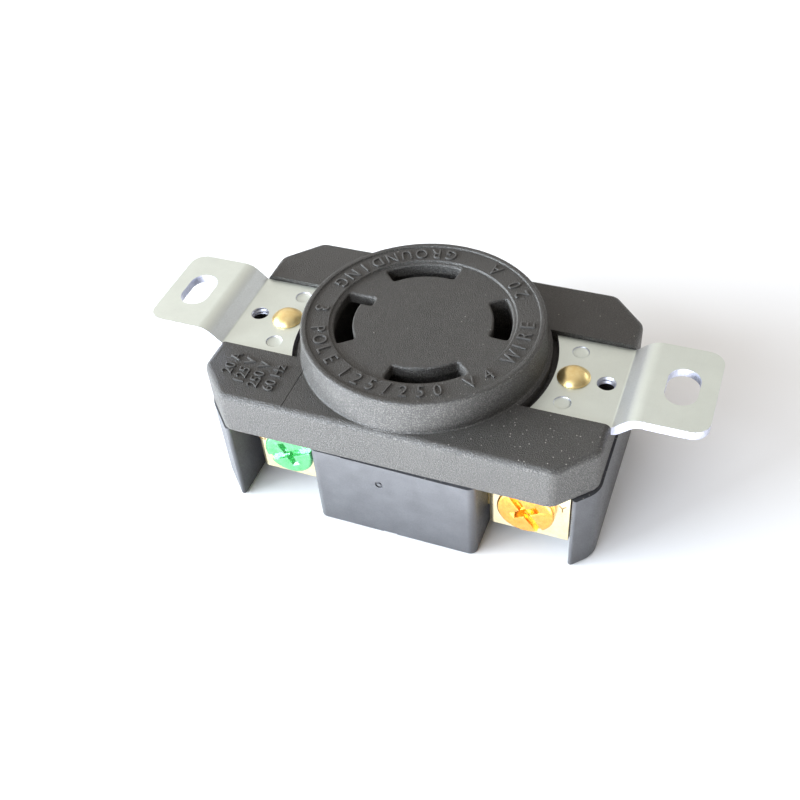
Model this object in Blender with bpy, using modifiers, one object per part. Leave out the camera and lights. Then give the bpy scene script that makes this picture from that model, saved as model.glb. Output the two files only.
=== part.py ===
"""Flush-mounted locking receptacle, four-wire, 20 A face.

Frame: origin at the bottom centre of the base, +X along the mounting strap,
+Z out of the face.  Lengths are in millimetres and become metres through MM.

The body is the same after half a turn about Z, so every terminal group is
designed on the front (-Y) side and its twin is turned to the rear.
"""
import math

import bmesh
import bpy
from mathutils import Matrix, Vector

MM = 0.001                    # metres in a millimetre
GAP = 0.3                     # clearance left between touching pieces
PART_NAME = "locking_receptacle"

# Mounting strap, standard device-box and wall-plate spacings
BOX_SCREW_SPACING = 83.34     # 3.281 in, ear slots
PLATE_SCREW_SPACING = 60.33   # 2.375 in, tapped holes
RIVET_X = 25.0
EAR_HALF_LENGTH = 46.9
EAR_HALF_WIDTH = 9.0
EAR_THICKNESS = 1.5
EAR_INNER_RADIUS = 21.95
EAR_CORNER_RADIUS = 2.7
EAR_TOP_INNER = 24.06         # top of the ear where it lies in the cover
EAR_TOP_OUTER = 26.68         # top of the ear beyond the joggle
EAR_BEND_LOW = 33.0
EAR_BEND_HIGH = 35.8
EAR_BEND_RADIUS = 1.6
EAR_SLOT_WIDTH = 5.0
EAR_SLOT_LENGTH = 8.0
TAPPED_HOLE_DIAMETER = 3.0
DIMPLE_DIAMETER = 2.8
DIMPLE_DEPTH = 0.4
DIMPLE_X = 24.7
DIMPLE_Y = 6.0

# Moulded shells
COVER_HALF_LENGTH = 33.0
COVER_HALF_WIDTH = 21.0
CHAMFER_ALONG_X = 5.75
CHAMFER_ALONG_Y = 6.0
SHELL_CORNER_RADIUS = 2.2
COVER_TOP = 24.8
COVER_EDGE_RADIUS = 1.0
PARTING_PLANE = 17.1
BASE_TOP = PARTING_PLANE - GAP
BASE_EDGE_RADIUS = 0.5
EAR_RECESS_FLOOR = EAR_TOP_INNER - EAR_THICKNESS - GAP
EAR_RECESS_HALF_WIDTH = 9.3
NECK_RADIUS = 20.9

# Face disc
FACE_TOP = 30.45
FACE_RADIUS_TOP = 19.8
FACE_RADIUS_BOTTOM = 20.2
LIP_INNER_RADIUS = 18.6
RING_DEPTH = 0.25
CENTRE_RADIUS = 15.1
CENTRE_DEPTH = 0.55

# Face slots, degrees counter-clockwise from +X as seen from the face
SLOT_INNER_RADIUS = 11.4
SLOT_OUTER_RADIUS = 14.4
SLOT_ANGLES = {
    "live_x": (-95.0, -42.0),
    "neutral": (-3.0, 38.0),
    "live_y": (83.0, 135.0),
    "ground": (168.0, 219.0),
}
HOOK_SWEEP = 21.0             # extra room clockwise for the locking hook of a blade
HOOK_ROOM_MARGIN = 0.8        # how much wider than its slot the room is
HOOK_ROOM_TOP = 27.9          # the face is left thin over the hooks
GROUND_KEY = ((-12.6, 1.1), (-9.3, 3.05))

# Contact chambers in the base
CHAMBER_INNER_RADIUS = 10.2
CHAMBER_OUTER_RADIUS = 15.3
GROUND_CHAMBER_INNER_RADIUS = 8.6
CHAMBER_END_ROOM = 2.0
CHAMBER_FLOOR = 3.7

# Terminal pockets on the front side: low and high x
LIVE_POCKET = (15.2, 29.7)
GROUND_POCKET = (-27.1, -12.6)
POCKET_BACK = 12.55           # distance of the back wall from the centre plane

# Contacts: brass strip on edge, bent in plan
STRIP_THICKNESS = 1.0
STRIP_LOW = 5.2
STRIP_HIGH = 15.4
TAB_Y = -13.35
TAB_INSET = 0.8               # how far the tab ends inside its clamp plate's edge
JAW_RADIUS = 14.5
LIVE_JAW_END = -105.0
GROUND_JAW_END = 160.0
GROUND_STRIP_X = -13.4

# Sprung contact leaves
LEAF_THICKNESS = 0.6
LEAF_WIDTH = 6.0
LEAF_ANGLES = {"live_x": -88.0, "neutral": 0.0, "live_y": 92.0, "ground": 180.0}
LEAF_FOOT_RADIUS = 14.5
LEAF_BEND_RADIUS = 11.6
LEAF_BASE_Z = CHAMBER_FLOOR + GAP + LEAF_THICKNESS / 2
LEAF_KNEE = (12.5, 12.8)      # radius and height where the leaf bears on a blade
LEAF_TIP = (11.7, 15.6)

# Terminal screws and clamp plates
LIVE_SCREW_X = 22.7
GROUND_SCREW_X = -17.9
SCREW_Z = 11.75
HEAD_FACE_Y = -19.0
HEAD_DIAMETER = 9.2
HEAD_THICKNESS = 1.6
HEAD_EDGE_RADIUS = 0.5
SHANK_DIAMETER = 4.0
SHANK_LENGTH = 8.0
DRIVE_SLOT_WIDTH = 1.2
DRIVE_SLOT_DEPTH = 0.9
CROSS_WIDTH = 1.0
CROSS_LENGTH = 4.4
CROSS_DEPTH = 1.3
SCREW_TRAVEL_IN = 1.75        # from the rest position to clamped
PLATE_THICKNESS = 1.2
PLATE_LEFT = 6.4
LIVE_PLATE_RIGHT = 6.7
GROUND_PLATE_RIGHT = 5.0
PLATE_LOW = 5.4
PLATE_HIGH = 16.5
PLATE_BEND_RADIUS = 1.0

# Rivets and bonding pieces
RIVET_SHANK_DIAMETER = 3.5
RIVET_HEAD_DIAMETER = 5.3
RIVET_HEAD_HEIGHT = 1.2
RIVET_TAIL_DIAMETER = 5.0
RIVET_TAIL_LOW = 0.15
RIVET_TAIL_HIGH = 0.7
BORE_DIAMETER = RIVET_SHANK_DIAMETER + 2 * GAP
STRAP_LOW = 1.0
STRAP_THICKNESS = 0.7
STRAP_HALF_LENGTH = 28.5
STRAP_HALF_WIDTH = 4.0
GROOVE_DEPTH = STRAP_LOW + STRAP_THICKNESS + GAP
LINK_THICKNESS = 0.7
LINK_LOW = STRIP_HIGH + GAP
LINK_RADIUS = 3.0
LINK_END = (-21.5, -10.8)

# Facets
ARC_STEP = 9.0                # degrees between points on a drawn arc
ROUND_STEPS = 32
FACE_STEPS = 72

# name: colour, roughness, metallic
FINISHES = {
    "cover_plastic": ((0.035, 0.034, 0.033), 0.55, 0.0),
    "base_plastic": ((0.045, 0.047, 0.055), 0.50, 0.0),
    "zinc_steel": ((0.66, 0.70, 0.66), 0.38, 1.0),
    "rivet_brass": ((0.83, 0.66, 0.30), 0.22, 1.0),
    "contact_brass": ((0.80, 0.64, 0.32), 0.32, 1.0),
    "spring_bronze": ((0.72, 0.48, 0.27), 0.35, 1.0),
    "clamp_brass": ((0.90, 0.80, 0.52), 0.30, 1.0),
    "brass_screw": ((0.95, 0.55, 0.16), 0.25, 1.0),
    "green_screw": ((0.06, 0.62, 0.22), 0.25, 0.8),
    "silver_screw": ((0.80, 0.80, 0.80), 0.28, 1.0),
    "bonding_steel": ((0.60, 0.62, 0.60), 0.40, 1.0),
}


# ---------------------------------------------------------------- scene set-up

def clear_scene():
    for obj in list(bpy.data.objects):
        bpy.data.objects.remove(obj, do_unlink=True)


def new_collection(name):
    collection = bpy.data.collections.new(name)
    bpy.context.scene.collection.children.link(collection)
    return collection


def finish_material(name):
    material = bpy.data.materials.get(name)
    if material is None:
        colour, roughness, metallic = FINISHES[name]
        material = bpy.data.materials.new(name)
        material.use_nodes = True
        shader = material.node_tree.nodes["Principled BSDF"]
        shader.inputs["Base Color"].default_value = (*colour, 1.0)
        shader.inputs["Roughness"].default_value = roughness
        shader.inputs["Metallic"].default_value = metallic
    return material


# ------------------------------------------------------------- outline helpers

def arc_points(radius, start, end, centre=(0.0, 0.0)):
    """Points on an arc, both ends included, angles in degrees."""
    count = max(1, math.ceil(abs(end - start) / ARC_STEP))
    points = []
    for index in range(count + 1):
        angle = math.radians(start + (end - start) * index / count)
        x = centre[0] + radius * math.cos(angle)
        y = centre[1] + radius * math.sin(angle)
        points.append((x, y))
    return points


def fillet_corner(before, corner, after, radius):
    """Replace one corner of an outline by the arc that rounds it."""
    corner = Vector(corner)
    to_before = (Vector(before) - corner).normalized()
    to_after = (Vector(after) - corner).normalized()
    half_angle = to_before.angle(to_after) / 2
    if radius <= 0.0 or half_angle > math.radians(89.0):
        return [tuple(corner)]
    bisector = (to_before + to_after).normalized()
    centre = corner + bisector * (radius / math.sin(half_angle))
    run = radius / math.tan(half_angle)
    start = corner + to_before * run - centre
    end = corner + to_after * run - centre
    first = math.degrees(math.atan2(start.y, start.x))
    sweep = math.degrees(math.atan2(start.x * end.y - start.y * end.x, start.dot(end)))
    return arc_points(radius, first, first + sweep, centre)


def rounded(corners, radius):
    """Close an outline through its corners, each rounded by the same radius."""
    points = []
    for index, corner in enumerate(corners):
        before = corners[index - 1]
        after = corners[(index + 1) % len(corners)]
        points += fillet_corner(before, corner, after, radius)
    return points


def rounded_path(corners, radius):
    """An open path with its inner corners rounded."""
    points = [corners[0]]
    for before, corner, after in zip(corners, corners[1:], corners[2:]):
        points += fillet_corner(before, corner, after, radius)
    points.append(corners[-1])
    return points


def shell_outline():
    """The eight-sided outline of the cover and the base."""
    x = COVER_HALF_LENGTH
    y = COVER_HALF_WIDTH
    x_cut = x - CHAMFER_ALONG_X
    y_cut = y - CHAMFER_ALONG_Y
    corners = [(x, -y_cut), (x, y_cut), (x_cut, y), (-x_cut, y),
               (-x, y_cut), (-x, -y_cut), (-x_cut, -y), (x_cut, -y)]
    return rounded(corners, SHELL_CORNER_RADIUS)


def sector(inner, outer, start, end):
    """A stretch of a ring between two angles."""
    return arc_points(outer, start, end) + arc_points(inner, end, start)


def capsule(first, second, radius):
    """The outline of a bar with round ends between two points."""
    direction = Vector(second) - Vector(first)
    heading = math.degrees(math.atan2(direction.y, direction.x))
    return (arc_points(radius, heading + 90, heading + 270, first)
            + arc_points(radius, heading - 90, heading + 90, second))


# --------------------------------------------------------------- solid helpers

class Builder:
    """Makes the pieces and cutters and keeps them in their collections."""

    def __init__(self):
        self.pieces = new_collection(PART_NAME)
        self.cutters = new_collection("cutters")

    def add(self, name, mesh):
        obj = bpy.data.objects.new(name, mesh)
        self.pieces.objects.link(obj)
        return obj

    def add_bmesh(self, name, bm):
        mesh = bpy.data.meshes.new(name)
        bmesh.ops.recalc_face_normals(bm, faces=bm.faces)
        bm.to_mesh(mesh)
        bm.free()
        return self.add(name, mesh)

    def slab(self, name, outline, z_low, z_high):
        """A flat outline given thickness between two heights."""
        curve = bpy.data.curves.new(name + "_outline", "CURVE")
        curve.dimensions = "2D"
        curve.fill_mode = "BOTH"
        curve.extrude = (z_high - z_low) / 2 * MM
        spline = curve.splines.new("POLY")
        spline.points.add(len(outline) - 1)
        for point, (x, y) in zip(spline.points, outline):
            point.co = (x * MM, y * MM, 0.0, 1.0)
        spline.use_cyclic_u = True
        guide = bpy.data.objects.new(name + "_outline", curve)
        self.pieces.objects.link(guide)
        guide.location.z = (z_low + z_high) / 2 * MM
        bpy.context.view_layer.update()
        depsgraph = bpy.context.evaluated_depsgraph_get()
        mesh = bpy.data.meshes.new_from_object(guide.evaluated_get(depsgraph))
        bm = bmesh.new()
        bm.from_mesh(mesh)
        bmesh.ops.remove_doubles(bm, verts=bm.verts, dist=1e-7)
        bmesh.ops.dissolve_limit(
            bm, angle_limit=math.radians(1.0), verts=bm.verts, edges=bm.edges)
        bmesh.ops.recalc_face_normals(bm, faces=bm.faces)
        bm.to_mesh(mesh)
        bm.free()
        mesh.transform(guide.matrix_world)
        bpy.data.objects.remove(guide, do_unlink=True)
        return self.add(name, mesh)

    def box(self, name, low, high):
        bm = bmesh.new()
        bmesh.ops.create_cube(bm, size=1.0)
        size = [(b - a) * MM for a, b in zip(low, high)]
        middle = [(a + b) / 2 * MM for a, b in zip(low, high)]
        bmesh.ops.scale(bm, vec=size, verts=bm.verts)
        bmesh.ops.translate(bm, vec=middle, verts=bm.verts)
        return self.add_bmesh(name, bm)

    def cylinder(self, name, diameter, start, end, steps=ROUND_STEPS):
        """A round bar between two points."""
        axis = (Vector(end) - Vector(start)) * MM
        bm = bmesh.new()
        turn = axis.to_track_quat("Z", "Y").to_matrix().to_4x4()
        middle = (Vector(start) + Vector(end)) / 2 * MM
        bmesh.ops.create_cone(
            bm, cap_ends=True, segments=steps, radius1=diameter / 2 * MM,
            radius2=diameter / 2 * MM, depth=axis.length,
            matrix=Matrix.Translation(middle) @ turn)
        return self.add_bmesh(name, bm)

    def turned(self, name, profile, steps):
        """A turned piece: the profile runs from the top to the bottom axis point."""
        bm = bmesh.new()
        verts = [bm.verts.new((radius * MM, 0.0, z * MM)) for radius, z in profile]
        for first, second in zip(verts, verts[1:]):
            bm.edges.new((first, second))
        mesh = bpy.data.meshes.new(name)
        bm.to_mesh(mesh)
        bm.free()
        obj = self.add(name, mesh)
        screw = obj.modifiers.new("turn", "SCREW")
        screw.steps = steps
        screw.render_steps = steps
        screw.use_merge_vertices = True
        screw.merge_threshold = 1e-6
        return obj

    def ribbon(self, name, path, z_low, z_high, thickness):
        """A strip standing on edge along a path in plan."""
        bm = bmesh.new()
        low = [bm.verts.new((x * MM, y * MM, z_low * MM)) for x, y in path]
        high = [bm.verts.new((x * MM, y * MM, z_high * MM)) for x, y in path]
        for index in range(len(path) - 1):
            bm.faces.new((low[index], low[index + 1], high[index + 1], high[index]))
        mesh = bpy.data.meshes.new(name)
        bm.to_mesh(mesh)
        bm.free()
        obj = self.add(name, mesh)
        solidify = obj.modifiers.new("thickness", "SOLIDIFY")
        solidify.thickness = thickness * MM
        solidify.offset = 0.0
        solidify.use_even_offset = True
        return obj

    def as_cutter(self, obj):
        obj.hide_render = True
        obj.display_type = "WIRE"
        self.pieces.objects.unlink(obj)
        self.cutters.objects.link(obj)

    def boolean(self, obj, tool, operation):
        self.as_cutter(tool)
        modifier = obj.modifiers.new(tool.name, "BOOLEAN")
        modifier.operation = operation
        modifier.solver = "EXACT"
        modifier.object = tool

    def cut(self, obj, tool):
        self.boolean(obj, tool, "DIFFERENCE")

    def join(self, obj, tool):
        self.boolean(obj, tool, "UNION")

    def keep_common(self, obj, tool):
        self.boolean(obj, tool, "INTERSECT")


def half_turn(obj):
    """Turn a piece from the front side to the rear about the centre axis."""
    obj.rotation_euler = (0.0, 0.0, math.pi)


def finish(obj, material):
    obj.data.materials.clear()
    obj.data.materials.append(finish_material(material))
    obj.data.shade_smooth()
    obj.data.set_sharp_from_angle(angle=math.radians(30.0))


def round_rim(obj, height, radius, segments):
    """Round the edges of a slab that lie at one height."""
    bm = bmesh.new()
    bm.from_mesh(obj.data)
    rim = []
    for edge in bm.edges:
        if all(abs(vert.co.z - height * MM) < 1e-6 for vert in edge.verts):
            rim.append(edge)
    bmesh.ops.bevel(
        bm, geom=rim, offset=radius * MM, segments=segments, profile=0.5,
        affect="EDGES", clamp_overlap=False)
    bm.to_mesh(obj.data)
    bm.free()


# ------------------------------------------------------------------ front cover

def face_disc_profile():
    return [
        (0.0, FACE_TOP - CENTRE_DEPTH),
        (CENTRE_RADIUS, FACE_TOP - CENTRE_DEPTH),
        (CENTRE_RADIUS + 0.1, FACE_TOP - RING_DEPTH),
        (LIP_INNER_RADIUS, FACE_TOP - RING_DEPTH),
        (LIP_INNER_RADIUS + 0.2, FACE_TOP),
        (FACE_RADIUS_TOP - 0.4, FACE_TOP),
        (FACE_RADIUS_TOP, FACE_TOP - 0.4),
        (FACE_RADIUS_BOTTOM, COVER_TOP - 0.5),
        (0.0, COVER_TOP - 0.5),
    ]


def ear_recess_outline():
    """From the neck ring out past the end of the cover."""
    half_angle = math.degrees(math.asin(EAR_RECESS_HALF_WIDTH / NECK_RADIUS))
    neck = arc_points(NECK_RADIUS, half_angle, -half_angle)
    past_end = COVER_HALF_LENGTH + 5.0
    return neck + [(past_end, -EAR_RECESS_HALF_WIDTH), (past_end, EAR_RECESS_HALF_WIDTH)]


def cut_rivet_and_plate_bores(builder, shell, label, blind_floor):
    """Rivet bores go right through; wall-plate screw bores stop at blind_floor."""
    for side, sign in (("right", 1.0), ("left", -1.0)):
        rivet = (sign * RIVET_X, 0.0)
        bore = builder.cylinder(
            f"{label}_rivet_bore_{side}", BORE_DIAMETER, (*rivet, -5.0), (*rivet, 35.0))
        builder.cut(shell, bore)
        screw = (sign * PLATE_SCREW_SPACING / 2, 0.0)
        relief = builder.cylinder(
            f"{label}_plate_screw_bore_{side}", TAPPED_HOLE_DIAMETER + 1.0,
            (*screw, blind_floor), (*screw, 35.0))
        builder.cut(shell, relief)


def build_front_cover(builder):
    cover = builder.slab("front_cover", shell_outline(), PARTING_PLANE, COVER_TOP)
    round_rim(cover, COVER_TOP, COVER_EDGE_RADIUS, 3)
    disc = builder.turned("face_disc", face_disc_profile(), FACE_STEPS)
    builder.join(cover, disc)
    for side in ("right", "left"):
        recess = builder.slab(
            f"ear_recess_{side}", ear_recess_outline(), EAR_RECESS_FLOOR, 30.0)
        if side == "left":
            half_turn(recess)
        builder.cut(cover, recess)
    for pole, (start, end) in SLOT_ANGLES.items():
        slot = builder.slab(
            f"slot_{pole}", sector(SLOT_INNER_RADIUS, SLOT_OUTER_RADIUS, start, end),
            PARTING_PLANE - 2.0, FACE_TOP + 2.0)
        builder.cut(cover, slot)
        inner = SLOT_INNER_RADIUS - HOOK_ROOM_MARGIN
        if pole == "ground":
            inner = GROUND_CHAMBER_INNER_RADIUS
        room = builder.slab(
            f"hook_room_{pole}",
            sector(inner, SLOT_OUTER_RADIUS + HOOK_ROOM_MARGIN,
                   start - HOOK_SWEEP + CHAMBER_END_ROOM, end + 1.0),
            PARTING_PLANE - 2.0, HOOK_ROOM_TOP)
        builder.cut(cover, room)
    key_low, key_high = GROUND_KEY
    key = builder.box(
        "ground_key", (*key_low, PARTING_PLANE - 1.0), (*key_high, FACE_TOP + 1.0))
    builder.cut(cover, key)
    cut_rivet_and_plate_bores(builder, cover, "cover", PARTING_PLANE - 1.0)
    finish(cover, "cover_plastic")


# -------------------------------------------------------------------- rear base

def live_strip_path():
    """From the free end of the tab to the far end of the jaw."""
    meet = -math.degrees(math.asin(-TAB_Y / JAW_RADIUS))
    tab_end = LIVE_SCREW_X + LIVE_PLATE_RIGHT - TAB_INSET
    return [(tab_end, TAB_Y)] + arc_points(JAW_RADIUS, meet, LIVE_JAW_END)


def ground_strip_path():
    meet = 180.0 + math.degrees(math.acos(-GROUND_STRIP_X / JAW_RADIUS))
    arc = arc_points(JAW_RADIUS, meet, GROUND_JAW_END)
    tab_end = GROUND_SCREW_X - PLATE_LEFT + TAB_INSET
    corner = [(tab_end, TAB_Y), (GROUND_STRIP_X, TAB_Y), arc[0]]
    return rounded_path(corner, STRIP_THICKNESS)[:-1] + arc


# name, turned to the rear, screw x on the front side, strip path
POLES = [
    ("live_x", False, LIVE_SCREW_X, live_strip_path, LIVE_POCKET, "brass_screw"),
    ("live_y", True, LIVE_SCREW_X, live_strip_path, LIVE_POCKET, "brass_screw"),
    ("ground", False, GROUND_SCREW_X, ground_strip_path, GROUND_POCKET, "green_screw"),
    ("neutral", True, GROUND_SCREW_X, ground_strip_path, GROUND_POCKET, "silver_screw"),
]


def cut_pole_spaces(builder, base, pole, rear, screw_x, strip_path, pocket):
    """The terminal pocket, contact chamber, strip slot and screw-tip bore."""
    outside = COVER_HALF_WIDTH + 5.0
    spaces = [
        builder.box(f"pocket_{pole}", (pocket[0], -outside, -5.0),
                    (pocket[1], -POCKET_BACK, 25.0)),
        builder.ribbon(f"strip_slot_{pole}", strip_path(), STRIP_LOW - GAP, 25.0,
                       STRIP_THICKNESS + 0.5),
        builder.cylinder(
            f"tip_bore_{pole}", SHANK_DIAMETER + 1.0, (screw_x, -POCKET_BACK - 1.0, SCREW_Z),
            (screw_x, HEAD_FACE_Y + HEAD_THICKNESS + SHANK_LENGTH + SCREW_TRAVEL_IN + 1.0,
             SCREW_Z)),
    ]
    for space in spaces:
        if rear:
            half_turn(space)
        builder.cut(base, space)
    start, end = SLOT_ANGLES[pole]
    inner = GROUND_CHAMBER_INNER_RADIUS if pole == "ground" else CHAMBER_INNER_RADIUS
    chamber = builder.slab(
        f"chamber_{pole}",
        sector(inner, CHAMBER_OUTER_RADIUS, start - HOOK_SWEEP, end + CHAMBER_END_ROOM),
        CHAMBER_FLOOR, 25.0)
    builder.cut(base, chamber)


def build_rear_base(builder):
    base = builder.slab("rear_base", shell_outline(), 0.0, BASE_TOP)
    round_rim(base, 0.0, BASE_EDGE_RADIUS, 3)
    for pole, rear, screw_x, strip_path, pocket, _ in POLES:
        cut_pole_spaces(builder, base, pole, rear, screw_x, strip_path, pocket)
    groove = builder.box(
        "strap_groove", (-STRAP_HALF_LENGTH - GAP, -STRAP_HALF_WIDTH - GAP, -1.0),
        (STRAP_HALF_LENGTH + GAP, STRAP_HALF_WIDTH + GAP, GROOVE_DEPTH))
    builder.cut(base, groove)
    link_bed = builder.slab(
        "link_bed", capsule((-RIVET_X, 0.0), LINK_END, LINK_RADIUS + GAP),
        LINK_LOW - GAP, 25.0)
    builder.cut(base, link_bed)
    cut_rivet_and_plate_bores(builder, base, "base", 9.0)
    finish(base, "base_plastic")


# ---------------------------------------------------------------- mounting ears

def ear_plan():
    """Seen from the face: concave towards the disc, round corners at the tip."""
    half_angle = math.degrees(math.asin(EAR_HALF_WIDTH / EAR_INNER_RADIUS))
    concave = arc_points(EAR_INNER_RADIUS, half_angle, -half_angle)
    inset = EAR_HALF_LENGTH - EAR_CORNER_RADIUS
    side = EAR_HALF_WIDTH - EAR_CORNER_RADIUS
    lower = arc_points(EAR_CORNER_RADIUS, -90.0, 0.0, (inset, -side))
    upper = arc_points(EAR_CORNER_RADIUS, 0.0, 90.0, (inset, side))
    return concave + lower + upper


def ear_strip(builder, name):
    """The bent plate before its outline and holes are cut, made on its side."""
    rise = EAR_TOP_OUTER - EAR_TOP_INNER
    slope = math.atan2(rise, EAR_BEND_HIGH - EAR_BEND_LOW)
    shift = EAR_THICKNESS / 2 * math.tan(slope / 2)
    low = EAR_TOP_INNER - EAR_THICKNESS / 2
    high = EAR_TOP_OUTER - EAR_THICKNESS / 2
    corners = [(15.0, low), (EAR_BEND_LOW + shift, low), (EAR_BEND_HIGH + shift, high),
               (EAR_HALF_LENGTH + 5.0, high)]
    half_width = EAR_HALF_WIDTH + 3.0
    path = rounded_path(corners, EAR_BEND_RADIUS)
    strip = builder.ribbon(name, path, -half_width, half_width, EAR_THICKNESS)
    strip.data.transform(Matrix.Rotation(math.radians(90.0), 4, "X"))
    return strip


def build_ear(builder, side):
    ear = ear_strip(builder, f"mounting_ear_{side}")
    tools = [("outline", builder.slab(f"ear_outline_{side}", ear_plan(), 15.0, 35.0))]
    slot_reach = (EAR_SLOT_LENGTH - EAR_SLOT_WIDTH) / 2
    slot_x = BOX_SCREW_SPACING / 2
    slot = capsule((slot_x, -slot_reach), (slot_x, slot_reach), EAR_SLOT_WIDTH / 2)
    tools.append(("hole", builder.slab(f"ear_slot_{side}", slot, 16.0, 34.0)))
    holes = ((RIVET_X, BORE_DIAMETER), (PLATE_SCREW_SPACING / 2, TAPPED_HOLE_DIAMETER))
    for x, diameter in holes:
        hole = builder.cylinder(
            f"ear_hole_{side}_{x:.0f}", diameter, (x, 0.0, 16.0), (x, 0.0, 34.0))
        tools.append(("hole", hole))
    for sign in (-1.0, 1.0):
        place = (DIMPLE_X, sign * DIMPLE_Y)
        dimple = builder.cylinder(
            f"ear_dimple_{side}_{sign:.0f}", DIMPLE_DIAMETER,
            (*place, EAR_TOP_INNER - DIMPLE_DEPTH), (*place, 30.0), 20)
        tools.append(("hole", dimple))
    for use, tool in tools:
        if side == "left":
            half_turn(tool)
        if use == "outline":
            builder.keep_common(ear, tool)
        else:
            builder.cut(ear, tool)
    if side == "left":
        half_turn(ear)
    finish(ear, "zinc_steel")


# ------------------------------------------------------------- contacts, leaves

def place_on_side(obj, rear):
    if rear:
        half_turn(obj)


def build_contact(builder, pole, rear, screw_x, strip_path):
    contact = builder.ribbon(
        f"contact_{pole}", strip_path(), STRIP_LOW, STRIP_HIGH, STRIP_THICKNESS)
    hole = builder.cylinder(
        f"contact_hole_{pole}", SHANK_DIAMETER + 2 * GAP,
        (screw_x, TAB_Y - 3.0, SCREW_Z), (screw_x, TAB_Y + 3.0, SCREW_Z), 24)
    place_on_side(contact, rear)
    place_on_side(hole, rear)
    builder.cut(contact, hole)
    finish(contact, "contact_brass")


def build_leaf(builder, pole):
    """A sprung leaf: foot on the chamber floor, knee towards the blade.

    Its profile is drawn with radius along X and height along Y, measured from
    the bend at its foot, and then stood up and turned to its slot.
    """
    bend = (LEAF_BEND_RADIUS, LEAF_BASE_Z)
    corners = [(LEAF_FOOT_RADIUS, LEAF_BASE_Z), bend, LEAF_KNEE, LEAF_TIP]
    path = [(x - bend[0], z - bend[1]) for x, z in rounded_path(corners, 0.8)]
    leaf = builder.ribbon(
        f"spring_leaf_{pole}", path, -LEAF_WIDTH / 2, LEAF_WIDTH / 2, LEAF_THICKNESS)
    leaf.data.transform(Matrix.Rotation(math.radians(90.0), 4, "X"))
    angle = math.radians(LEAF_ANGLES[pole])
    leaf.location = (
        bend[0] * MM * math.cos(angle), bend[0] * MM * math.sin(angle), bend[1] * MM)
    leaf.rotation_euler = (0.0, 0.0, angle)
    finish(leaf, "spring_bronze")


# ---------------------------------------------------------- screws and clamps

def screw_profile():
    """Head and shank on the Z axis, the face of the head at z = 0."""
    head = HEAD_DIAMETER / 2
    shank = SHANK_DIAMETER / 2
    tip = -HEAD_THICKNESS - SHANK_LENGTH
    return [
        (0.0, 0.0),
        (head - HEAD_EDGE_RADIUS, 0.0),
        (head - 0.15, -0.15),
        (head, -HEAD_EDGE_RADIUS),
        (head, -HEAD_THICKNESS),
        (shank, -HEAD_THICKNESS),
        (shank, tip + 0.5),
        (shank - 0.5, tip),
        (0.0, tip),
    ]


def build_screw(builder, pole, rear, screw_x, material):
    """The screw is made upright, then laid over so its head faces outward."""
    screw = builder.turned(f"terminal_screw_{pole}", screw_profile(), ROUND_STEPS)
    reach = HEAD_DIAMETER
    cross = CROSS_LENGTH / 2
    recesses = [
        ("slot", (DRIVE_SLOT_WIDTH / 2, reach, DRIVE_SLOT_DEPTH)),
        ("cross_a", (CROSS_WIDTH / 2, cross, CROSS_DEPTH)),
        ("cross_b", (cross, CROSS_WIDTH / 2, CROSS_DEPTH)),
    ]
    for label, (half_x, half_y, depth) in recesses:
        tool = builder.box(
            f"drive_{label}_{pole}", (-half_x, -half_y, -depth), (half_x, half_y, 2.0))
        tool.parent = screw
        builder.cut(screw, tool)
    sign = -1.0 if rear else 1.0
    screw.location = (sign * screw_x * MM, sign * HEAD_FACE_Y * MM, SCREW_Z * MM)
    screw.rotation_euler = (sign * math.radians(90.0), 0.0, 0.0)
    finish(screw, material)


def build_clamp_plate(builder, pole, rear, screw_x):
    """A pressure plate under the screw head, its left edge bent away."""
    front = HEAD_FACE_Y + HEAD_THICKNESS + GAP
    back = front + PLATE_THICKNESS
    left = screw_x - PLATE_LEFT
    right = screw_x + (LIVE_PLATE_RIGHT if screw_x > 0 else GROUND_PLATE_RIGHT)
    bend = arc_points(
        PLATE_BEND_RADIUS, 180.0, 270.0, (left + PLATE_BEND_RADIUS, front + PLATE_BEND_RADIUS))
    outline = bend + [(right, front), (right, back), (left, back)]
    plate = builder.slab(f"clamp_plate_{pole}", outline, PLATE_LOW, PLATE_HIGH)
    hole = builder.cylinder(
        f"clamp_hole_{pole}", SHANK_DIAMETER + 2 * GAP,
        (screw_x, front - 2.0, SCREW_Z), (screw_x, back + 2.0, SCREW_Z), 24)
    place_on_side(plate, rear)
    place_on_side(hole, rear)
    builder.cut(plate, hole)
    finish(plate, "clamp_brass")


# ---------------------------------------------------- rivets and bonding pieces

def rivet_profile():
    head_base = EAR_TOP_INNER + GAP
    head = RIVET_HEAD_DIAMETER / 2
    shank = RIVET_SHANK_DIAMETER / 2
    tail = RIVET_TAIL_DIAMETER / 2
    dome = []
    for step in range(6):
        angle = math.radians(90.0 - 15.0 * step)
        dome.append((head * math.cos(angle), head_base + RIVET_HEAD_HEIGHT * math.sin(angle)))
    dome[0] = (0.0, head_base + RIVET_HEAD_HEIGHT)
    return dome + [
        (head, head_base),
        (shank, head_base),
        (shank, RIVET_TAIL_HIGH),
        (tail, RIVET_TAIL_HIGH),
        (tail - 0.4, RIVET_TAIL_LOW),
        (0.0, RIVET_TAIL_LOW),
    ]


def build_rivet(builder, side, sign):
    rivet = builder.turned(f"rivet_{side}", rivet_profile(), 24)
    rivet.location.x = sign * RIVET_X * MM
    finish(rivet, "rivet_brass")


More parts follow.
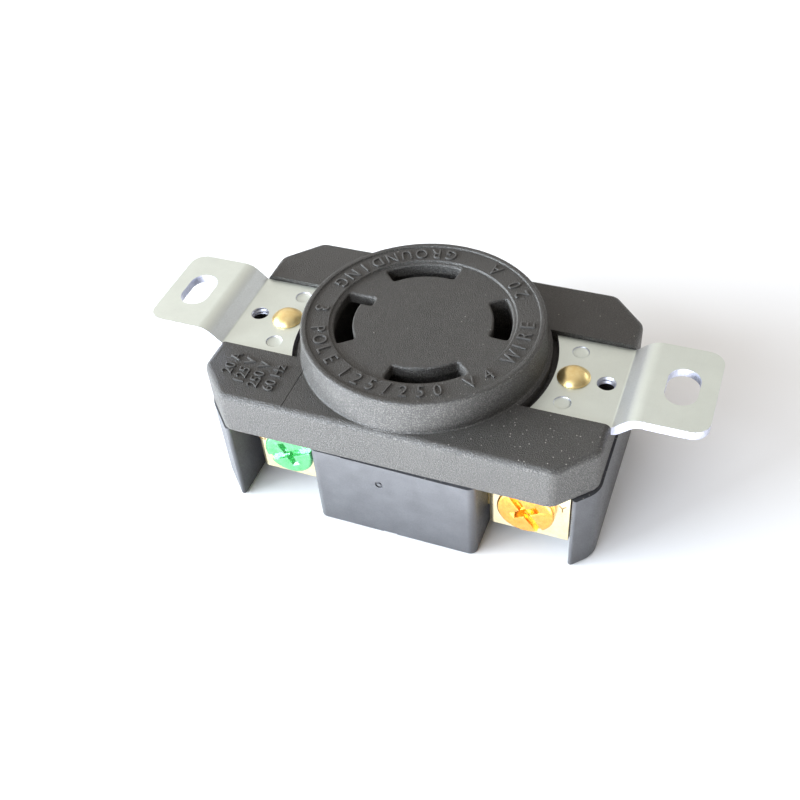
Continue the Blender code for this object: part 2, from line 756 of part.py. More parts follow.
def build_bonding_strap(builder):
    """Joins both rivets, and so both ears, along the back of the base."""
    reach = STRAP_HALF_LENGTH - STRAP_HALF_WIDTH
    strap = builder.slab(
        "bonding_strap", capsule((-reach, 0.0), (reach, 0.0), STRAP_HALF_WIDTH),
        STRAP_LOW, STRAP_LOW + STRAP_THICKNESS)
    for sign in (-1.0, 1.0):
        place = (sign * RIVET_X, 0.0)
        hole = builder.cylinder(
            f"strap_hole_{sign:.0f}", BORE_DIAMETER, (*place, -3.0), (*place, 5.0), 24)
        builder.cut(strap, hole)
    finish(strap, "bonding_steel")


def build_ground_link(builder):
    """Joins the ground terminal to the left rivet, under the cover."""
    rivet = (-RIVET_X, 0.0)
    link = builder.slab(
        "ground_link", capsule(rivet, LINK_END, LINK_RADIUS),
        LINK_LOW, LINK_LOW + LINK_THICKNESS)
    hole = builder.cylinder("link_hole", BORE_DIAMETER, (*rivet, 10.0), (*rivet, 20.0), 24)
    builder.cut(link, hole)
    finish(link, "contact_brass")


def main():
    clear_scene()
    builder = Builder()
    build_front_cover(builder)
    build_rear_base(builder)
    for side, sign in (("right", 1.0), ("left", -1.0)):
        build_ear(builder, side)
        build_rivet(builder, side, sign)
    for pole, rear, screw_x, strip_path, _, screw_finish in POLES:
        build_contact(builder, pole, rear, screw_x, strip_path)
        build_leaf(builder, pole)
        build_clamp_plate(builder, pole, rear, screw_x)
        build_screw(builder, pole, rear, screw_x, screw_finish)
    build_bonding_strap(builder)
    build_ground_link(builder)


main()
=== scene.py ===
"""Looks of the four-wire locking receptacle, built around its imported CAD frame.

Frame: origin at the bottom centre, +X along the strap, +Z out of the face.
Lengths are in millimetres and become metres through MM.  The front (-Y) side
carries the first hot and the ground terminal; half a turn about Z gives the
rear side with the second hot and the neutral terminal.
"""
import math

import bmesh
import bpy
from mathutils import Matrix, Vector


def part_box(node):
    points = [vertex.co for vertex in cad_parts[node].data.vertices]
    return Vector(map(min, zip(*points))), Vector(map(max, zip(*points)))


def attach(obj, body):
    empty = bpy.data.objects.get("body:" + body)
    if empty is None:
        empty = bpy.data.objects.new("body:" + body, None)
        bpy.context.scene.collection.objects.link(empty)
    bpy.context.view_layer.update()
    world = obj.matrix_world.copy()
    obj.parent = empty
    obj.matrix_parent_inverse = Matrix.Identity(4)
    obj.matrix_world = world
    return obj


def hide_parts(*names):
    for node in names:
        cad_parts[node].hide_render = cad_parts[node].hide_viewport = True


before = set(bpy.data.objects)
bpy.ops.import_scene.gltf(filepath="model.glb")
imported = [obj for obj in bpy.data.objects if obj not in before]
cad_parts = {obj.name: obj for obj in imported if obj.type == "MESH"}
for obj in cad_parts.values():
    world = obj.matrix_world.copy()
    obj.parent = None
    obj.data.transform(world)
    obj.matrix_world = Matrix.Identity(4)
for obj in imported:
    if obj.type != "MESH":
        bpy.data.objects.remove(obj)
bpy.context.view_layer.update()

MM = 0.001


# ---- sizes and places ----

def node_box(name):
    """Lowest and highest corner of a CAD node, in millimetres."""
    low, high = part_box(name)
    return low / MM, high / MM


COVER_LOW, COVER_HIGH = node_box("front_cover")
BASE_LOW, BASE_HIGH = node_box("rear_base")
EAR_LOW, EAR_HIGH = node_box("mounting_ear_right")
RIVET_LOW, RIVET_HIGH = node_box("rivet_right")
STRAP_LOW, STRAP_HIGH = node_box("bonding_strap")
LINK_LOW, LINK_HIGH = node_box("ground_link")
CONTACT_LOW, CONTACT_HIGH = node_box("contact_live_x")
LEAF_LOW = node_box("spring_leaf_ground")[0]

GAP = 0.3                       # the CAD's clearance between touching pieces
SEAT = 0.04                     # what is left of it where pieces really touch

# Shells
COVER_HALF_LENGTH = COVER_HIGH.x
COVER_HALF_WIDTH = COVER_HIGH.y
PARTING_PLANE = COVER_LOW.z
FACE_TOP = COVER_HIGH.z
COVER_TOP = 24.8
CHAMFER_ALONG_X = 5.75
CHAMFER_ALONG_Y = 6.0
CORNER_RADIUS = 2.4
BASE_CORNER_RADIUS = 4.4
BASE_OVERHANG = 0.3             # how far the base stands out past the cover at each end
COVER_EDGE_RADIUS = 1.05
BASE_EDGE_RADIUS = 0.45
BLOCK_CORNER_RADIUS = 1.3
POCKET_CORNER_RADIUS = 0.5
WALL_TIP_RADIUS = 0.45
POCKET_EDGE_RADIUS = 0.3
POCKET_BACK = 12.55
LIVE_POCKET = (15.2, 29.7)
GROUND_POCKET = (-27.1, -12.6)
ABOVE_BASE = 25.0
STRIP_PLAY = 0.5                # a contact strip's slot is this much wider than the strip
TIP_ROOM = 2.3                  # past the tip of a terminal screw
RECESS_HALF_WIDTH = EAR_HIGH.y + 0.15
NECK_RADIUS = 20.9
PANEL_LINE_X = -16.5
PANEL_LINE_HALF_WIDTH = 0.07
PANEL_LINE_DEPTH = 0.1

# Marks on the front of the base: the moulding's gate and a nick in its foot
GATE = Vector((-0.8, 0.0, 12.3))
GATE_DIAMETERS = (0.65, 1.35)
GATE_DEPTH = 0.25
GATE_STEPS = 32
NOTCH_X = (-1.0, 1.5)
NOTCH_DEPTH = 0.5
NOTCH_HEIGHT = 0.45

# Face disc and its slots, angles counter-clockwise from +X
FACE_RADIUS_TOP = 19.8
FACE_RADIUS_BOTTOM = 20.2
LIP_INNER_RADIUS = 18.75
CENTRE_RADIUS = 15.1
RING_TOP = FACE_TOP - 0.25
CENTRE_TOP = FACE_TOP - 0.6
SLOT_RADII = (11.4, 14.4)
SLOT_ANGLES = {
    "live_x": (-95.0, -42.0),
    "neutral": (-3.0, 38.0),
    "live_y": (83.0, 135.0),
    "ground": (168.0, 219.0),
}
SLOT_EDGE_RADIUS = 0.42
SLOT_CORNER_RADIUS = 0.45
GROUND_KEY_X = -9.3
GROUND_KEY_Y = (1.1, 3.05)
GROUND_CHAMBER_RADIUS = 8.6
CHAMBER_RADII = (10.2, 15.3)
CHAMBER_FLOOR = LEAF_LOW.z - GAP
HOOK_SWEEP = 21.0
HOOK_ROOM_TOP = 27.9
HOOK_ROOM_MARGIN = 0.8

# Ears
EAR_THICKNESS = 1.5
EAR_TOP_INNER = EAR_LOW.z + EAR_THICKNESS
EAR_INNER_RADIUS = 21.95
EAR_CORNER_RADIUS = 2.7
EAR_BEND_LOW = 33.0
EAR_BEND_HIGH = 35.8
EAR_BEND_RADII = (1.3, 3.0)      # lower and upper bend, at mid thickness
EAR_EDGE_RADIUS = 0.16
BOX_SCREW_X = 83.34 / 2
PLATE_SCREW_X = 60.33 / 2
EAR_SLOT = (5.0, 8.0)
TAPPED_HOLE_DIAMETER = 3.0
DIMPLE_PLACES = [(24.7, -6.0), (24.7, 6.0)]
DIMPLE_DIAMETER = 2.8
DIMPLE_DEPTH = 0.35
NICKS_X = (37.6, 43.8)          # small marks left by the shears in the ear's front edge
NICK_HALF_WIDTH = 0.07
NICK_DEPTH = 0.14
EAR_CUT_Z = (16.0, 34.0)

# Rivets
RIVET_X = (RIVET_LOW.x + RIVET_HIGH.x) / 2
RIVET_HEAD_RADIUS = RIVET_HIGH.y
RIVET_SHANK_RADIUS = 1.75
RIVET_BORE = 2 * RIVET_SHANK_RADIUS + 0.2
RIVET_TAIL_RADIUS = 2.5

# Contacts
STRIP_THICKNESS = 1.0
TAB_Y = -13.35
JAW_RADIUS = 14.5
LIVE_JAW_END = -105.0
GROUND_JAW_END = 160.0
GROUND_STRIP_X = -13.4
LEAF_THICKNESS = 0.6
LEAF_WIDTH = 6.0
LEAF_ANGLES = {"live_x": -88.0, "neutral": 0.0, "live_y": 92.0, "ground": 180.0}
LEAF_BASE_Z = LEAF_LOW.z + LEAF_THICKNESS / 2
LEAF_PATH = [(-LEAF_LOW.x, LEAF_BASE_Z), (11.6, LEAF_BASE_Z), (12.5, 12.8), (11.7, 15.6)]

# Terminal screws (8-32) and their clamp plates
HEAD_RADIUS = 4.6
HEAD_THICKNESS = 1.6
HEAD_EDGE_RADIUS = 0.5
HEAD_RIM_RADIUS = 0.12
DRIVE_SLOT = (0.6, 0.85)        # half width and depth
CROSS_LEVELS = [(0.36, 1.5, -1.3), (0.72, 2.7, 0.3)]    # half sizes and height, floor and mouth
SHANK_LENGTH = 8.0
SHANK_RADIUS = 2.0
THREAD_PITCH = 0.794
THREAD_DEPTH = 0.35
PLATE_THICKNESS = 1.2
PLATE_SET_OUT = 0.22            # the plate touches its screw's head, unlike the CAD's
PLATE_BEND_RADIUS = 1.0
HOLE_DIAMETER = 4.5

# Facets, angles in degrees
FINE_ARC = 3.0
FACE_STEPS = 180
ROUND_STEPS = 64
HOLE_STEPS = 48
CORNER_STEPS = 8
SLOT_CORNER_STEPS = 4
MERGE_DISTANCE = 0.004
SHARP_EDGE_ANGLE = 35.0
CREASE_ANGLE = 32.0
LARGE_FACE_WEIGHT = 90

# How far cutters reach: past the cover's top, and past the faces they open
ABOVE_ALL = 40.0
OVERCUT = 1.0

# What differs between the poles; bodies and nodes end with the pole's name
POLES = {
    "live_x": {"rear": False, "drive_turn": 34.0, "metal": "brass_screw", "letter": "Y"},
    "live_y": {"rear": True, "drive_turn": -18.0, "metal": "brass_screw", "letter": "X"},
    "ground": {"rear": False, "drive_turn": -62.0, "metal": "green_screw", "letter": "G",
               "smaller": 0.3},
    "neutral": {"rear": True, "drive_turn": 52.0, "metal": "silver_screw", "letter": "W"},
}


# ---- outline helpers ----

def on_circle(radius, angle, centre=(0.0, 0.0)):
    turn = math.radians(angle)
    return (centre[0] + radius * math.cos(turn), centre[1] + radius * math.sin(turn))


def arc(radius, start, end, centre=(0.0, 0.0), step=FINE_ARC):
    """Points on an arc, both ends included, angles in degrees."""
    count = max(1, math.ceil(abs(end - start) / step))
    sweep = end - start
    return [on_circle(radius, start + sweep * index / count, centre) for index in range(count + 1)]


def corner_arc(before, corner, after, radius, count):
    """The arc of count + 1 points that rounds one corner of an outline."""
    corner = Vector(corner)
    to_before = (Vector(before) - corner).normalized()
    to_after = (Vector(after) - corner).normalized()
    half_angle = to_before.angle(to_after) / 2
    centre = corner + (to_before + to_after).normalized() * (radius / math.sin(half_angle))
    run = radius / math.tan(half_angle)
    start = corner + to_before * run - centre
    end = corner + to_after * run - centre
    first = math.degrees(math.atan2(start.y, start.x))
    sweep = math.degrees(math.atan2(start.x * end.y - start.y * end.x, start.dot(end)))
    return [on_circle(radius, first + sweep * index / count, centre) for index in range(count + 1)]


def rounded_corners(path, radius, count):
    """The arcs that round the inner corners of an open path."""
    points = []
    for before, corner, after in zip(path, path[1:], path[2:]):
        points += corner_arc(before, corner, after, radius, count)
    return points


def rounded_path(path, radius):
    return [path[0]] + rounded_corners(path, radius, CORNER_STEPS) + [path[-1]]


def sector(inner, outer, start, end):
    """A stretch of a ring between two angles."""
    return arc(outer, start, end) + arc(inner, end, start)


def slot_mouth(inner, outer, start, end, radius, keyed):
    """A stretch of a ring with rounded corners; a key runs from its near end to the centre."""
    outer_trim = math.degrees(radius / outer)
    inner_trim = math.degrees(radius / inner)

    def rounded(*path):
        return rounded_corners(path, radius, SLOT_CORNER_STEPS)

    points = arc(outer, start + outer_trim, end - outer_trim)
    before = points[-1] if keyed else on_circle(outer, end - 2 * outer_trim)
    points += rounded(before, on_circle(outer, end), on_circle(inner, end),
                      on_circle(inner, end - 2 * inner_trim))[1:-1]
    near = [on_circle(outer, start), on_circle(outer, start + 2 * outer_trim)]
    if keyed:
        key_root = 180.0 - math.degrees(math.asin(GROUND_KEY_Y[0] / inner))
        points += arc(inner, end - inner_trim, key_root)
        key = [(GROUND_KEY_X, y) for y in GROUND_KEY_Y]
        return points + rounded(points[-1], *key, *near)[:-1]
    points += arc(inner, end - inner_trim, start + inner_trim)
    before = on_circle(inner, start + 2 * inner_trim)
    return points + rounded(before, on_circle(inner, start), *near)[1:-1]


def capsule(first, second, radius):
    """The outline of a bar with round ends between two points."""
    direction = Vector(second) - Vector(first)
    heading = math.degrees(math.atan2(direction.y, direction.x))
    step = 6.0
    return (arc(radius, heading + 90, heading + 270, first, step)
            + arc(radius, heading - 90, heading + 90, second, step))


def inset_corners(corners, insets):
    """Move each side of a closed outline inward by its own distance."""
    lines = []
    for corner, following, inset in zip(corners, corners[1:] + corners[:1], insets):
        start = Vector(corner)
        along = (Vector(following) - start).normalized()
        lines.append((start + Vector((-along.y, along.x)) * inset, along))
    moved = []
    for (point, along), (other, other_along) in zip(lines[-1:] + lines[:-1], lines):
        cross = along.x * other_along.y - along.y * other_along.x
        reach = other - point
        distance = (reach.x * other_along.y - reach.y * other_along.x) / cross
        moved.append(tuple(point + along * distance))
    return moved


# ---- mesh helpers ----

def new_object(name, mesh):
    obj = bpy.data.objects.new(name, mesh)
    bpy.context.scene.collection.objects.link(obj)
    return obj


def object_from(name, bm):
    bmesh.ops.recalc_face_normals(bm, faces=bm.faces)
    mesh = bpy.data.meshes.new(name)
    bm.to_mesh(mesh)
    bm.free()
    return new_object(name, mesh)


def skin(name, rings):
    """A solid through rings of points that all have the same count."""
    bm = bmesh.new()
    loops = [[bm.verts.new(Vector(point) * MM) for point in ring] for ring in rings]
    count = len(loops[0])
    for lower, upper in zip(loops, loops[1:]):
        for index in range(count):
            following = (index + 1) % count
            bm.faces.new((lower[index], lower[following], upper[following], upper[index]))
    bm.faces.new(loops[0])
    bm.faces.new(loops[-1])
    return object_from(name, bm)


def slab(name, outline, z_low, z_high):
    low = [(x, y, z_low) for x, y in outline]
    high = [(x, y, z_high) for x, y in outline]
    return skin(name, [low, high])


def flared_cutter(name, outline, z_low, z_mouth, radius):
    """A cutter whose sides curve outward at the mouth, which rounds the rim it cuts."""
    rings = [[(x, y, z_low) for x, y in outline]]
    for step in range(7):
        angle = math.radians(14.0 * step)
        spread = -radius * (1.0 - math.cos(angle))
        z = z_mouth - radius + radius * math.sin(angle)
        rings.append([(x, y, z) for x, y in inset_corners(outline, [spread] * len(outline))])
    rings.append([(x, y, z_mouth + OVERCUT) for x, y, _ in rings[-1]])
    return skin(name, rings)


def box(name, low, high):
    bm = bmesh.new()
    bmesh.ops.create_cube(bm, size=MM)
    size = Vector(high) - Vector(low)
    middle = (Vector(high) + Vector(low)) / 2 * MM
    bmesh.ops.scale(bm, vec=size, verts=bm.verts)
    bmesh.ops.translate(bm, vec=middle, verts=bm.verts)
    return object_from(name, bm)


def drill(diameter, start, end, steps):
    """A round cutter between two points."""
    axis = (Vector(end) - Vector(start)) * MM
    turn = axis.to_track_quat("Z", "Y").to_matrix().to_4x4()
    middle = (Vector(start) + Vector(end)) / 2 * MM
    radius = diameter / 2 * MM
    bm = bmesh.new()
    bmesh.ops.create_cone(
        bm, cap_ends=True, segments=steps, radius1=radius, radius2=radius, depth=axis.length,
        matrix=Matrix.Translation(middle) @ turn)
    return object_from("drill", bm)


def drill_down(diameter, x, z_low, z_high):
    """An upright cutter on the frame's X axis."""
    return drill(diameter, (x, 0.0, z_low), (x, 0.0, z_high), ROUND_STEPS)


def drill_in(diameter, centre, y_low, y_high, steps=HOLE_STEPS):
    """A cutter that runs from front to back through a point."""
    return drill(diameter, (centre.x, y_low, centre.z), (centre.x, y_high, centre.z), steps)


def turned(name, profile, steps):
    """A turned piece: the profile runs from the top to the bottom axis point."""
    bm = bmesh.new()
    top = bm.verts.new((0.0, 0.0, profile[0][1] * MM))
    bottom = bm.verts.new((0.0, 0.0, profile[-1][1] * MM))
    rings = []
    for radius, z in profile[1:-1]:
        ring = [(*on_circle(radius, 360.0 * index / steps), z) for index in range(steps)]
        rings.append([bm.verts.new(Vector(point) * MM) for point in ring])
    for index in range(steps):
        following = (index + 1) % steps
        bm.faces.new((top, rings[0][index], rings[0][following]))
        for upper, lower in zip(rings, rings[1:]):
            bm.faces.new((upper[index], lower[index], lower[following], upper[following]))
        bm.faces.new((bottom, rings[-1][following], rings[-1][index]))
    return object_from(name, bm)


def ribbon(name, path, z_low, z_high, thickness):
    """A strip standing on edge along a path in plan."""
    points = [Vector(point) for point in path]
    steps = [(after - here).normalized() for here, after in zip(points, points[1:])]
    left, right = [], []
    for here, first, second in zip(points, steps[:1] + steps, steps + steps[-1:]):
        along = (first + second).normalized()
        side = Vector((-along.y, along.x))
        reach = thickness / 2 / max(0.3, along.dot(first))
        left.append(tuple(here + side * reach))
        right.append(tuple(here - side * reach))
    return slab(name, left + right[::-1], z_low, z_high)


def about(axis, degrees):
    return Matrix.Rotation(math.radians(degrees), 4, axis)


def shift_to(*place_mm):
    return Matrix.Translation(Vector(place_mm) * MM)


def stand_up(obj):
    """Turn a piece drawn in plan so that its plan's Y becomes height."""
    obj.data.transform(about("X", 90.0))


def half_turn(obj):
    obj.data.transform(about("Z", 180.0))


def to_own_side(pole, *pieces):
    """Pieces are drawn at the front; half a turn takes a rear pole's to the rear."""
    if POLES[pole]["rear"]:
        for piece in pieces:
            half_turn(piece)


def evaluated_mesh(obj):
    bpy.context.view_layer.update()
    depsgraph = bpy.context.evaluated_depsgraph_get()
    return bpy.data.meshes.new_from_object(obj.evaluated_get(depsgraph))


def boolean(obj, tools, operation="DIFFERENCE"):
    """Cut or join tools one after another and keep the resulting mesh."""
    for tool in tools:
        modifier = obj.modifiers.new("shape", "BOOLEAN")
        modifier.operation = operation
        modifier.solver = "EXACT"
        modifier.object = tool
    mesh = evaluated_mesh(obj)
    obj.modifiers.clear()
    obj.data = mesh
    for tool in tools:
        bpy.data.objects.remove(tool, do_unlink=True)


def soften(obj, radius, segments=2, where=None):
    """Round the sharp edges of a piece that pass the test."""
    bm = bmesh.new()
    bm.from_mesh(obj.data)
    bmesh.ops.remove_doubles(bm, verts=bm.verts, dist=MERGE_DISTANCE * MM)
    bmesh.ops.dissolve_degenerate(bm, edges=bm.edges, dist=MERGE_DISTANCE * MM)
    chosen = []
    for edge in bm.edges:
        middle = (edge.verts[0].co + edge.verts[1].co) / 2 / MM
        sharp = edge.calc_face_angle(0.0) >= math.radians(SHARP_EDGE_ANGLE)
        if sharp and (where is None or where(middle)):
            chosen.append(edge)
    bmesh.ops.bevel(
        bm, geom=chosen, offset=radius * MM, segments=segments, profile=0.5,
        affect="EDGES", clamp_overlap=True)
    bm.to_mesh(obj.data)
    bm.free()


def shade(obj):
    """Smooth shading that keeps creases and lets the large faces lead."""
    obj.data.shade_smooth()
    obj.data.set_sharp_from_angle(angle=math.radians(CREASE_ANGLE))
    even = obj.modifiers.new("even_shading", "WEIGHTED_NORMAL")
    even.keep_sharp = True
    even.weight = LARGE_FACE_WEIGHT


def place(obj, body, slot, *nodes, look=None):
    """Finish a piece: shading, the material that slot names unless a look is named, its body, and
    hiding the CAD nodes it stands for.
    """
    shade(obj)
    obj.data.materials.clear()
    obj.data.materials.append(MATERIALS[look or slot])
    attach(obj, body)
    if nodes:
        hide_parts(*nodes)


# ---- materials ----

def scaled(colour, factor):
    return tuple(factor * part for part in colour)


class Nodes:
    """A short way to lay out the nodes of a material or a world."""

    def __init__(self, owner, shader):
        owner.use_nodes = True
        self.tree = owner.node_tree
        self.shader = self.tree.nodes[shader]
        self.coords = self.add("TexCoord").outputs

    def add(self, kind, inputs=None, **settings):
        """A node with its settings, its inputs linked or set."""
        node = self.tree.nodes.new(f"ShaderNode{kind}")
        for key, value in settings.items():
            setattr(node, key, value)
        for key, value in (inputs or {}).items():
            self.feed(node.inputs[key], value)
        return node

    def feed(self, socket, value):
        """Link a node's output to a socket, or set the socket to a number, vector or colour."""
        if isinstance(value, bpy.types.NodeSocket):
            self.tree.links.new(value, socket)
        elif socket.type == "RGBA":
            socket.default_value = (*value, 1.0)
        else:
            socket.default_value = value

    def drive(self, **sockets):
        """Feed the shader's sockets; an underscore in a name stands for a space."""
        for name, value in sockets.items():
            self.feed(self.shader.inputs[name.replace("_", " ")], value)


class MaterialNodes(Nodes):
    """A new material's nodes, with places in millimetres."""

    def __init__(self, name):
        self.material = bpy.data.materials.new(name)
        super().__init__(self.material, "Principled BSDF")
        inputs = {0: self.coords["Object"], "Scale": 1.0 / MM}
        self.place_mm = self.add("VectorMath", inputs, operation="SCALE").outputs[0]

    def stretched(self, factors):
        inputs = {0: self.place_mm, 1: factors}
        return self.add("VectorMath", inputs, operation="MULTIPLY").outputs[0]

    def along(self, direction):
        """Distance from the origin along a direction, in millimetres."""
        inputs = {0: self.place_mm, 1: direction}
        return self.add("VectorMath", inputs, operation="DOT_PRODUCT").outputs["Value"]

    def noise(self, per_mm, detail=3.0, roughness=0.6, vector=None):
        return self.add("TexNoise", {
            "Scale": per_mm, "Detail": detail, "Roughness": roughness,
            "Vector": vector or self.place_mm}).outputs["Fac"]

    def cells(self, per_mm):
        """Distance to the nearest cell's centre, and a value that each cell draws."""
        node = self.add("TexVoronoi", {"Scale": per_mm, "Vector": self.place_mm})
        parts = self.add("SeparateColor", {0: node.outputs["Color"]})
        return node.outputs["Distance"], parts.outputs[0]

    def span(self, value, low, high, to_low=0.0, to_high=1.0):
        """Map one range of values to another."""
        return self.add("MapRange", {
            "Value": value, "From Min": low, "From Max": high,
            "To Min": to_low, "To Max": to_high}).outputs["Result"]

    def math(self, operation, first, second):
        return self.add("Math", {0: first, 1: second}, operation=operation).outputs[0]

    def mix(self, factor, first, second):
        inputs = {"Factor": factor, 6: first, 7: second}
        return self.add("Mix", inputs, data_type="RGBA").outputs[2]

    def bump(self, height, strength, distance_mm):
        node = self.add("Bump", {
            "Strength": strength, "Distance": distance_mm * MM, "Height": height})
        self.drive(Normal=node.outputs["Normal"])

    def facing_up(self):
        """1 on upward faces, 0 on vertical ones."""
        parts = self.add("SeparateXYZ", {0: self.add("NewGeometry").outputs["Normal"]})
        return self.span(parts.outputs["Z"], 0.5, 0.95)

    def specks(self, per_mm, fade, choice):
        """A round speck in each of a few random cells, with a soft edge."""
        distance, drawn = self.cells(per_mm)
        return self.math("MULTIPLY", self.span(distance, *fade, 1.0, 0.0),
                         self.span(drawn, *choice))


def moulded_plastic(name, colour, roughness, grain_depth, painted_glints):
    """Charcoal moulding with an eroded grain, faint blotches, a little dust and painted glints:
    lighter grain cells and bright flecks, the flecks strongest on side faces.
    """
    n = MaterialNodes(name)
    upward = n.facing_up()
    blotches = n.span(n.noise(0.35, 4.0), 0.3, 0.7)
    body = n.mix(blotches, scaled(colour, 0.84), scaled(colour, 1.18))
    grain = n.noise(6.5, 1.0, 0.6)
    fine = n.cells(5.2)[1]
    # Lighter grain cells: the grain's own tone, with painted sparkle on top of it.
    body = n.mix(n.span(fine, 0.0, 1.0, 0.0, 0.5 * painted_glints), body, scaled(colour, 1.9))
    # Bright flecks painted into the colour as glints, stronger on side faces than on upward ones.
    glint_dots = n.span(n.noise(5.0, 1.0, 0.5), 0.48, 0.66)
    glint_dots = n.math("MULTIPLY", glint_dots, n.span(upward, 0.0, 1.0, painted_glints, 0.45 * painted_glints))
    body = n.mix(glint_dots, body, scaled(colour, 3.6))
    dust = n.specks(0.62, (0.04, 0.08), (0.70, 0.73))
    lint = n.specks(1.5, (0.10, 0.19), (0.58, 0.60))
    settled = n.span(n.along((0.55, -0.84, 0.0)), 12.0, 22.0)
    litter = n.math("MAXIMUM", dust, n.math("MULTIPLY", lint, settled))
    litter = n.math("MULTIPLY", n.math("MULTIPLY", litter, upward), 0.75)
    n.drive(Base_Color=n.mix(litter, body, (0.45, 0.42, 0.38)),
            Roughness=n.span(fine, 0.0, 1.0, roughness - 0.10, roughness + 0.1),
            Specular_IOR_Level=0.5)
    n.bump(n.math("ADD", grain, n.math("MULTIPLY", fine, 0.12)), 1.0, grain_depth)
    return n.material


def plated_steel(name, colour, roughness, side_shade_colour):
    """Zinc plating: satin, with soft clouds, a fine grain and streaky sheared edges; every face
    that is not upward takes the darker, bluish edge colour as painted shade.
    """
    n = MaterialNodes(name)
    body = n.mix(n.span(n.noise(0.28, 5.0), 0.25, 0.75), scaled(colour, 0.93), colour)
    spots = n.span(n.noise(3.0, 2.0), 0.62, 0.78, 0.0, 0.35)
    body = n.mix(spots, body, scaled(colour, 0.80))
    shear = n.span(n.noise(1.0, 2.0, 0.6, n.stretched((5.0, 5.0, 0.6))), 0.35, 0.65)
    # Sheared edges: the streaky shear texture is their own; their darker, bluer tone is painted
    # shade.
    edge = n.mix(shear, scaled(side_shade_colour, 0.82), side_shade_colour)
    lines = n.noise(1.0, 3.0, 0.6, n.stretched((14.0, 0.7, 2.0)))
    n.drive(Base_Color=n.mix(n.facing_up(), edge, body),
            Roughness=n.span(lines, 0.3, 0.7, roughness - 0.06, roughness + 0.08),
            Metallic=1.0)
    n.bump(n.math("ADD", n.noise(4.5, 2.0, 0.7), n.math("MULTIPLY", lines, 0.4)), 0.8, 0.02)
    return n.material


def bright_metal(name, colour, tarnish_colour, roughness, metallic=1.0, grain=0.2, coat=0.0):
    """Plated or polished metal with faint tarnish and handling marks."""
    n = MaterialNodes(name)
    tarnish = n.span(n.noise(0.9, 5.0), 0.35, 0.75)
    marks = n.noise(1.0, 3.0, 0.65, n.stretched((3.0, 6.0, 11.0)))
    n.drive(Base_Color=n.mix(tarnish, colour, tarnish_colour),
            Roughness=n.span(marks, 0.3, 0.75, roughness - 0.05, roughness + 0.1),
            Metallic=metallic, Coat_Weight=coat, Coat_Roughness=0.08)
    n.bump(n.math("ADD", n.noise(6.0, 2.0), marks), grain, 0.01)
    return n.material


PLASTICS = {                    # colour, roughness, depth of the grain in mm, amount of painted glints
    "cover_plastic": ((0.031, 0.0290, 0.0262), 0.47, 0.15, 1.0),
    "base_plastic": ((0.064, 0.064, 0.068), 0.40, 0.02, 0.08),
    # The raised letters are lighter than the cover's moulding: a painted highlight on them.
    "letter_plastic": ((0.058, 0.056, 0.053), 0.36, 0.01, 0.1),
}
STEELS = {                      # colour, roughness, colour of the sheared edges and other side faces, darkened and blued as painted shade
    "zinc_steel": ((0.74, 0.785, 0.73), 0.46, (0.60, 0.61, 0.70)),
    "bonding_steel": ((0.60, 0.62, 0.60), 0.42, (0.52, 0.53, 0.56)),
}
METALS = {                      # colour, tarnish, roughness, metallic, grain, coat
    "rivet_brass": ((0.92, 0.74, 0.37), (0.80, 0.58, 0.24), 0.33, 1.0, 0.08),
    "contact_brass": ((0.80, 0.64, 0.32), (0.62, 0.46, 0.20), 0.33),
    "spring_bronze": ((0.72, 0.48, 0.27), (0.55, 0.33, 0.17), 0.36),
    "clamp_brass": ((0.93, 0.84, 0.58), (0.86, 0.72, 0.42), 0.30),
    "brass_screw": ((0.92, 0.50, 0.11), (0.84, 0.36, 0.06), 0.24, 1.0, 0.2, 0.3),
    "green_screw": ((0.13, 0.48, 0.20), (0.06, 0.34, 0.11), 0.26, 0.7, 0.5, 0.7),
    "silver_screw": ((0.80, 0.80, 0.79), (0.62, 0.62, 0.60), 0.25),
    # Dark brown for the pole letter: painted shade standing for the inside of a stamped letter.
    "stamp_mark": ((0.30, 0.19, 0.07), (0.20, 0.12, 0.04), 0.5),
}
MATERIALS = {}
for make, table in ((moulded_plastic, PLASTICS), (plated_steel, STEELS), (bright_metal, METALS)):
    for look_name, values in table.items():
        MATERIALS[look_name] = make(look_name, *values)


# ---- moulded shells ----

def cover_corners():
    """The cover's eight corners, counter-clockwise."""
    x_cut = COVER_HALF_LENGTH - CHAMFER_ALONG_X
    y_cut = COVER_HALF_WIDTH - CHAMFER_ALONG_Y
    half = [(COVER_HALF_LENGTH, -y_cut), (COVER_HALF_LENGTH, y_cut),
            (x_cut, COVER_HALF_WIDTH), (-x_cut, COVER_HALF_WIDTH)]
    return half + [(-x, -y) for x, y in half]


def rounding_inset(height, radius):
    """How far a rounded edge has drawn in, at a height above its end face."""
    if height >= radius:
        return 0.0
    return radius - math.sqrt(radius ** 2 - (radius - height) ** 2)


def moulded_block(name, corners, corner_radii, edge_radii, z_end, z_other):
    """An extruded outline whose edges at z_end are rounded, each side by its own radius."""
    largest = max(edge_radii)
    heights = [largest * (1.0 - math.cos(math.radians(10.0 * step))) for step in range(10)]
    direction = 1.0 if z_other > z_end else -1.0
    levels = [(height, z_end + direction * height) for height in heights]
    levels.append((largest, z_other))
    rings = []
    for height, z in levels:
        insets = [rounding_inset(height, radius) for radius in edge_radii]
        moved = inset_corners(corners, insets)
        ring = []
        for index, corner in enumerate(moved):
            shrink = min(insets[index - 1], insets[index])
            radius = max(0.12, corner_radii[index] - shrink)
            bend = (moved[index - 1], corner, moved[(index + 1) % len(moved)])
            ring += [(x, y, z) for x, y in corner_arc(*bend, radius, CORNER_STEPS)]
        rings.append(ring)
    return skin(name, rings)


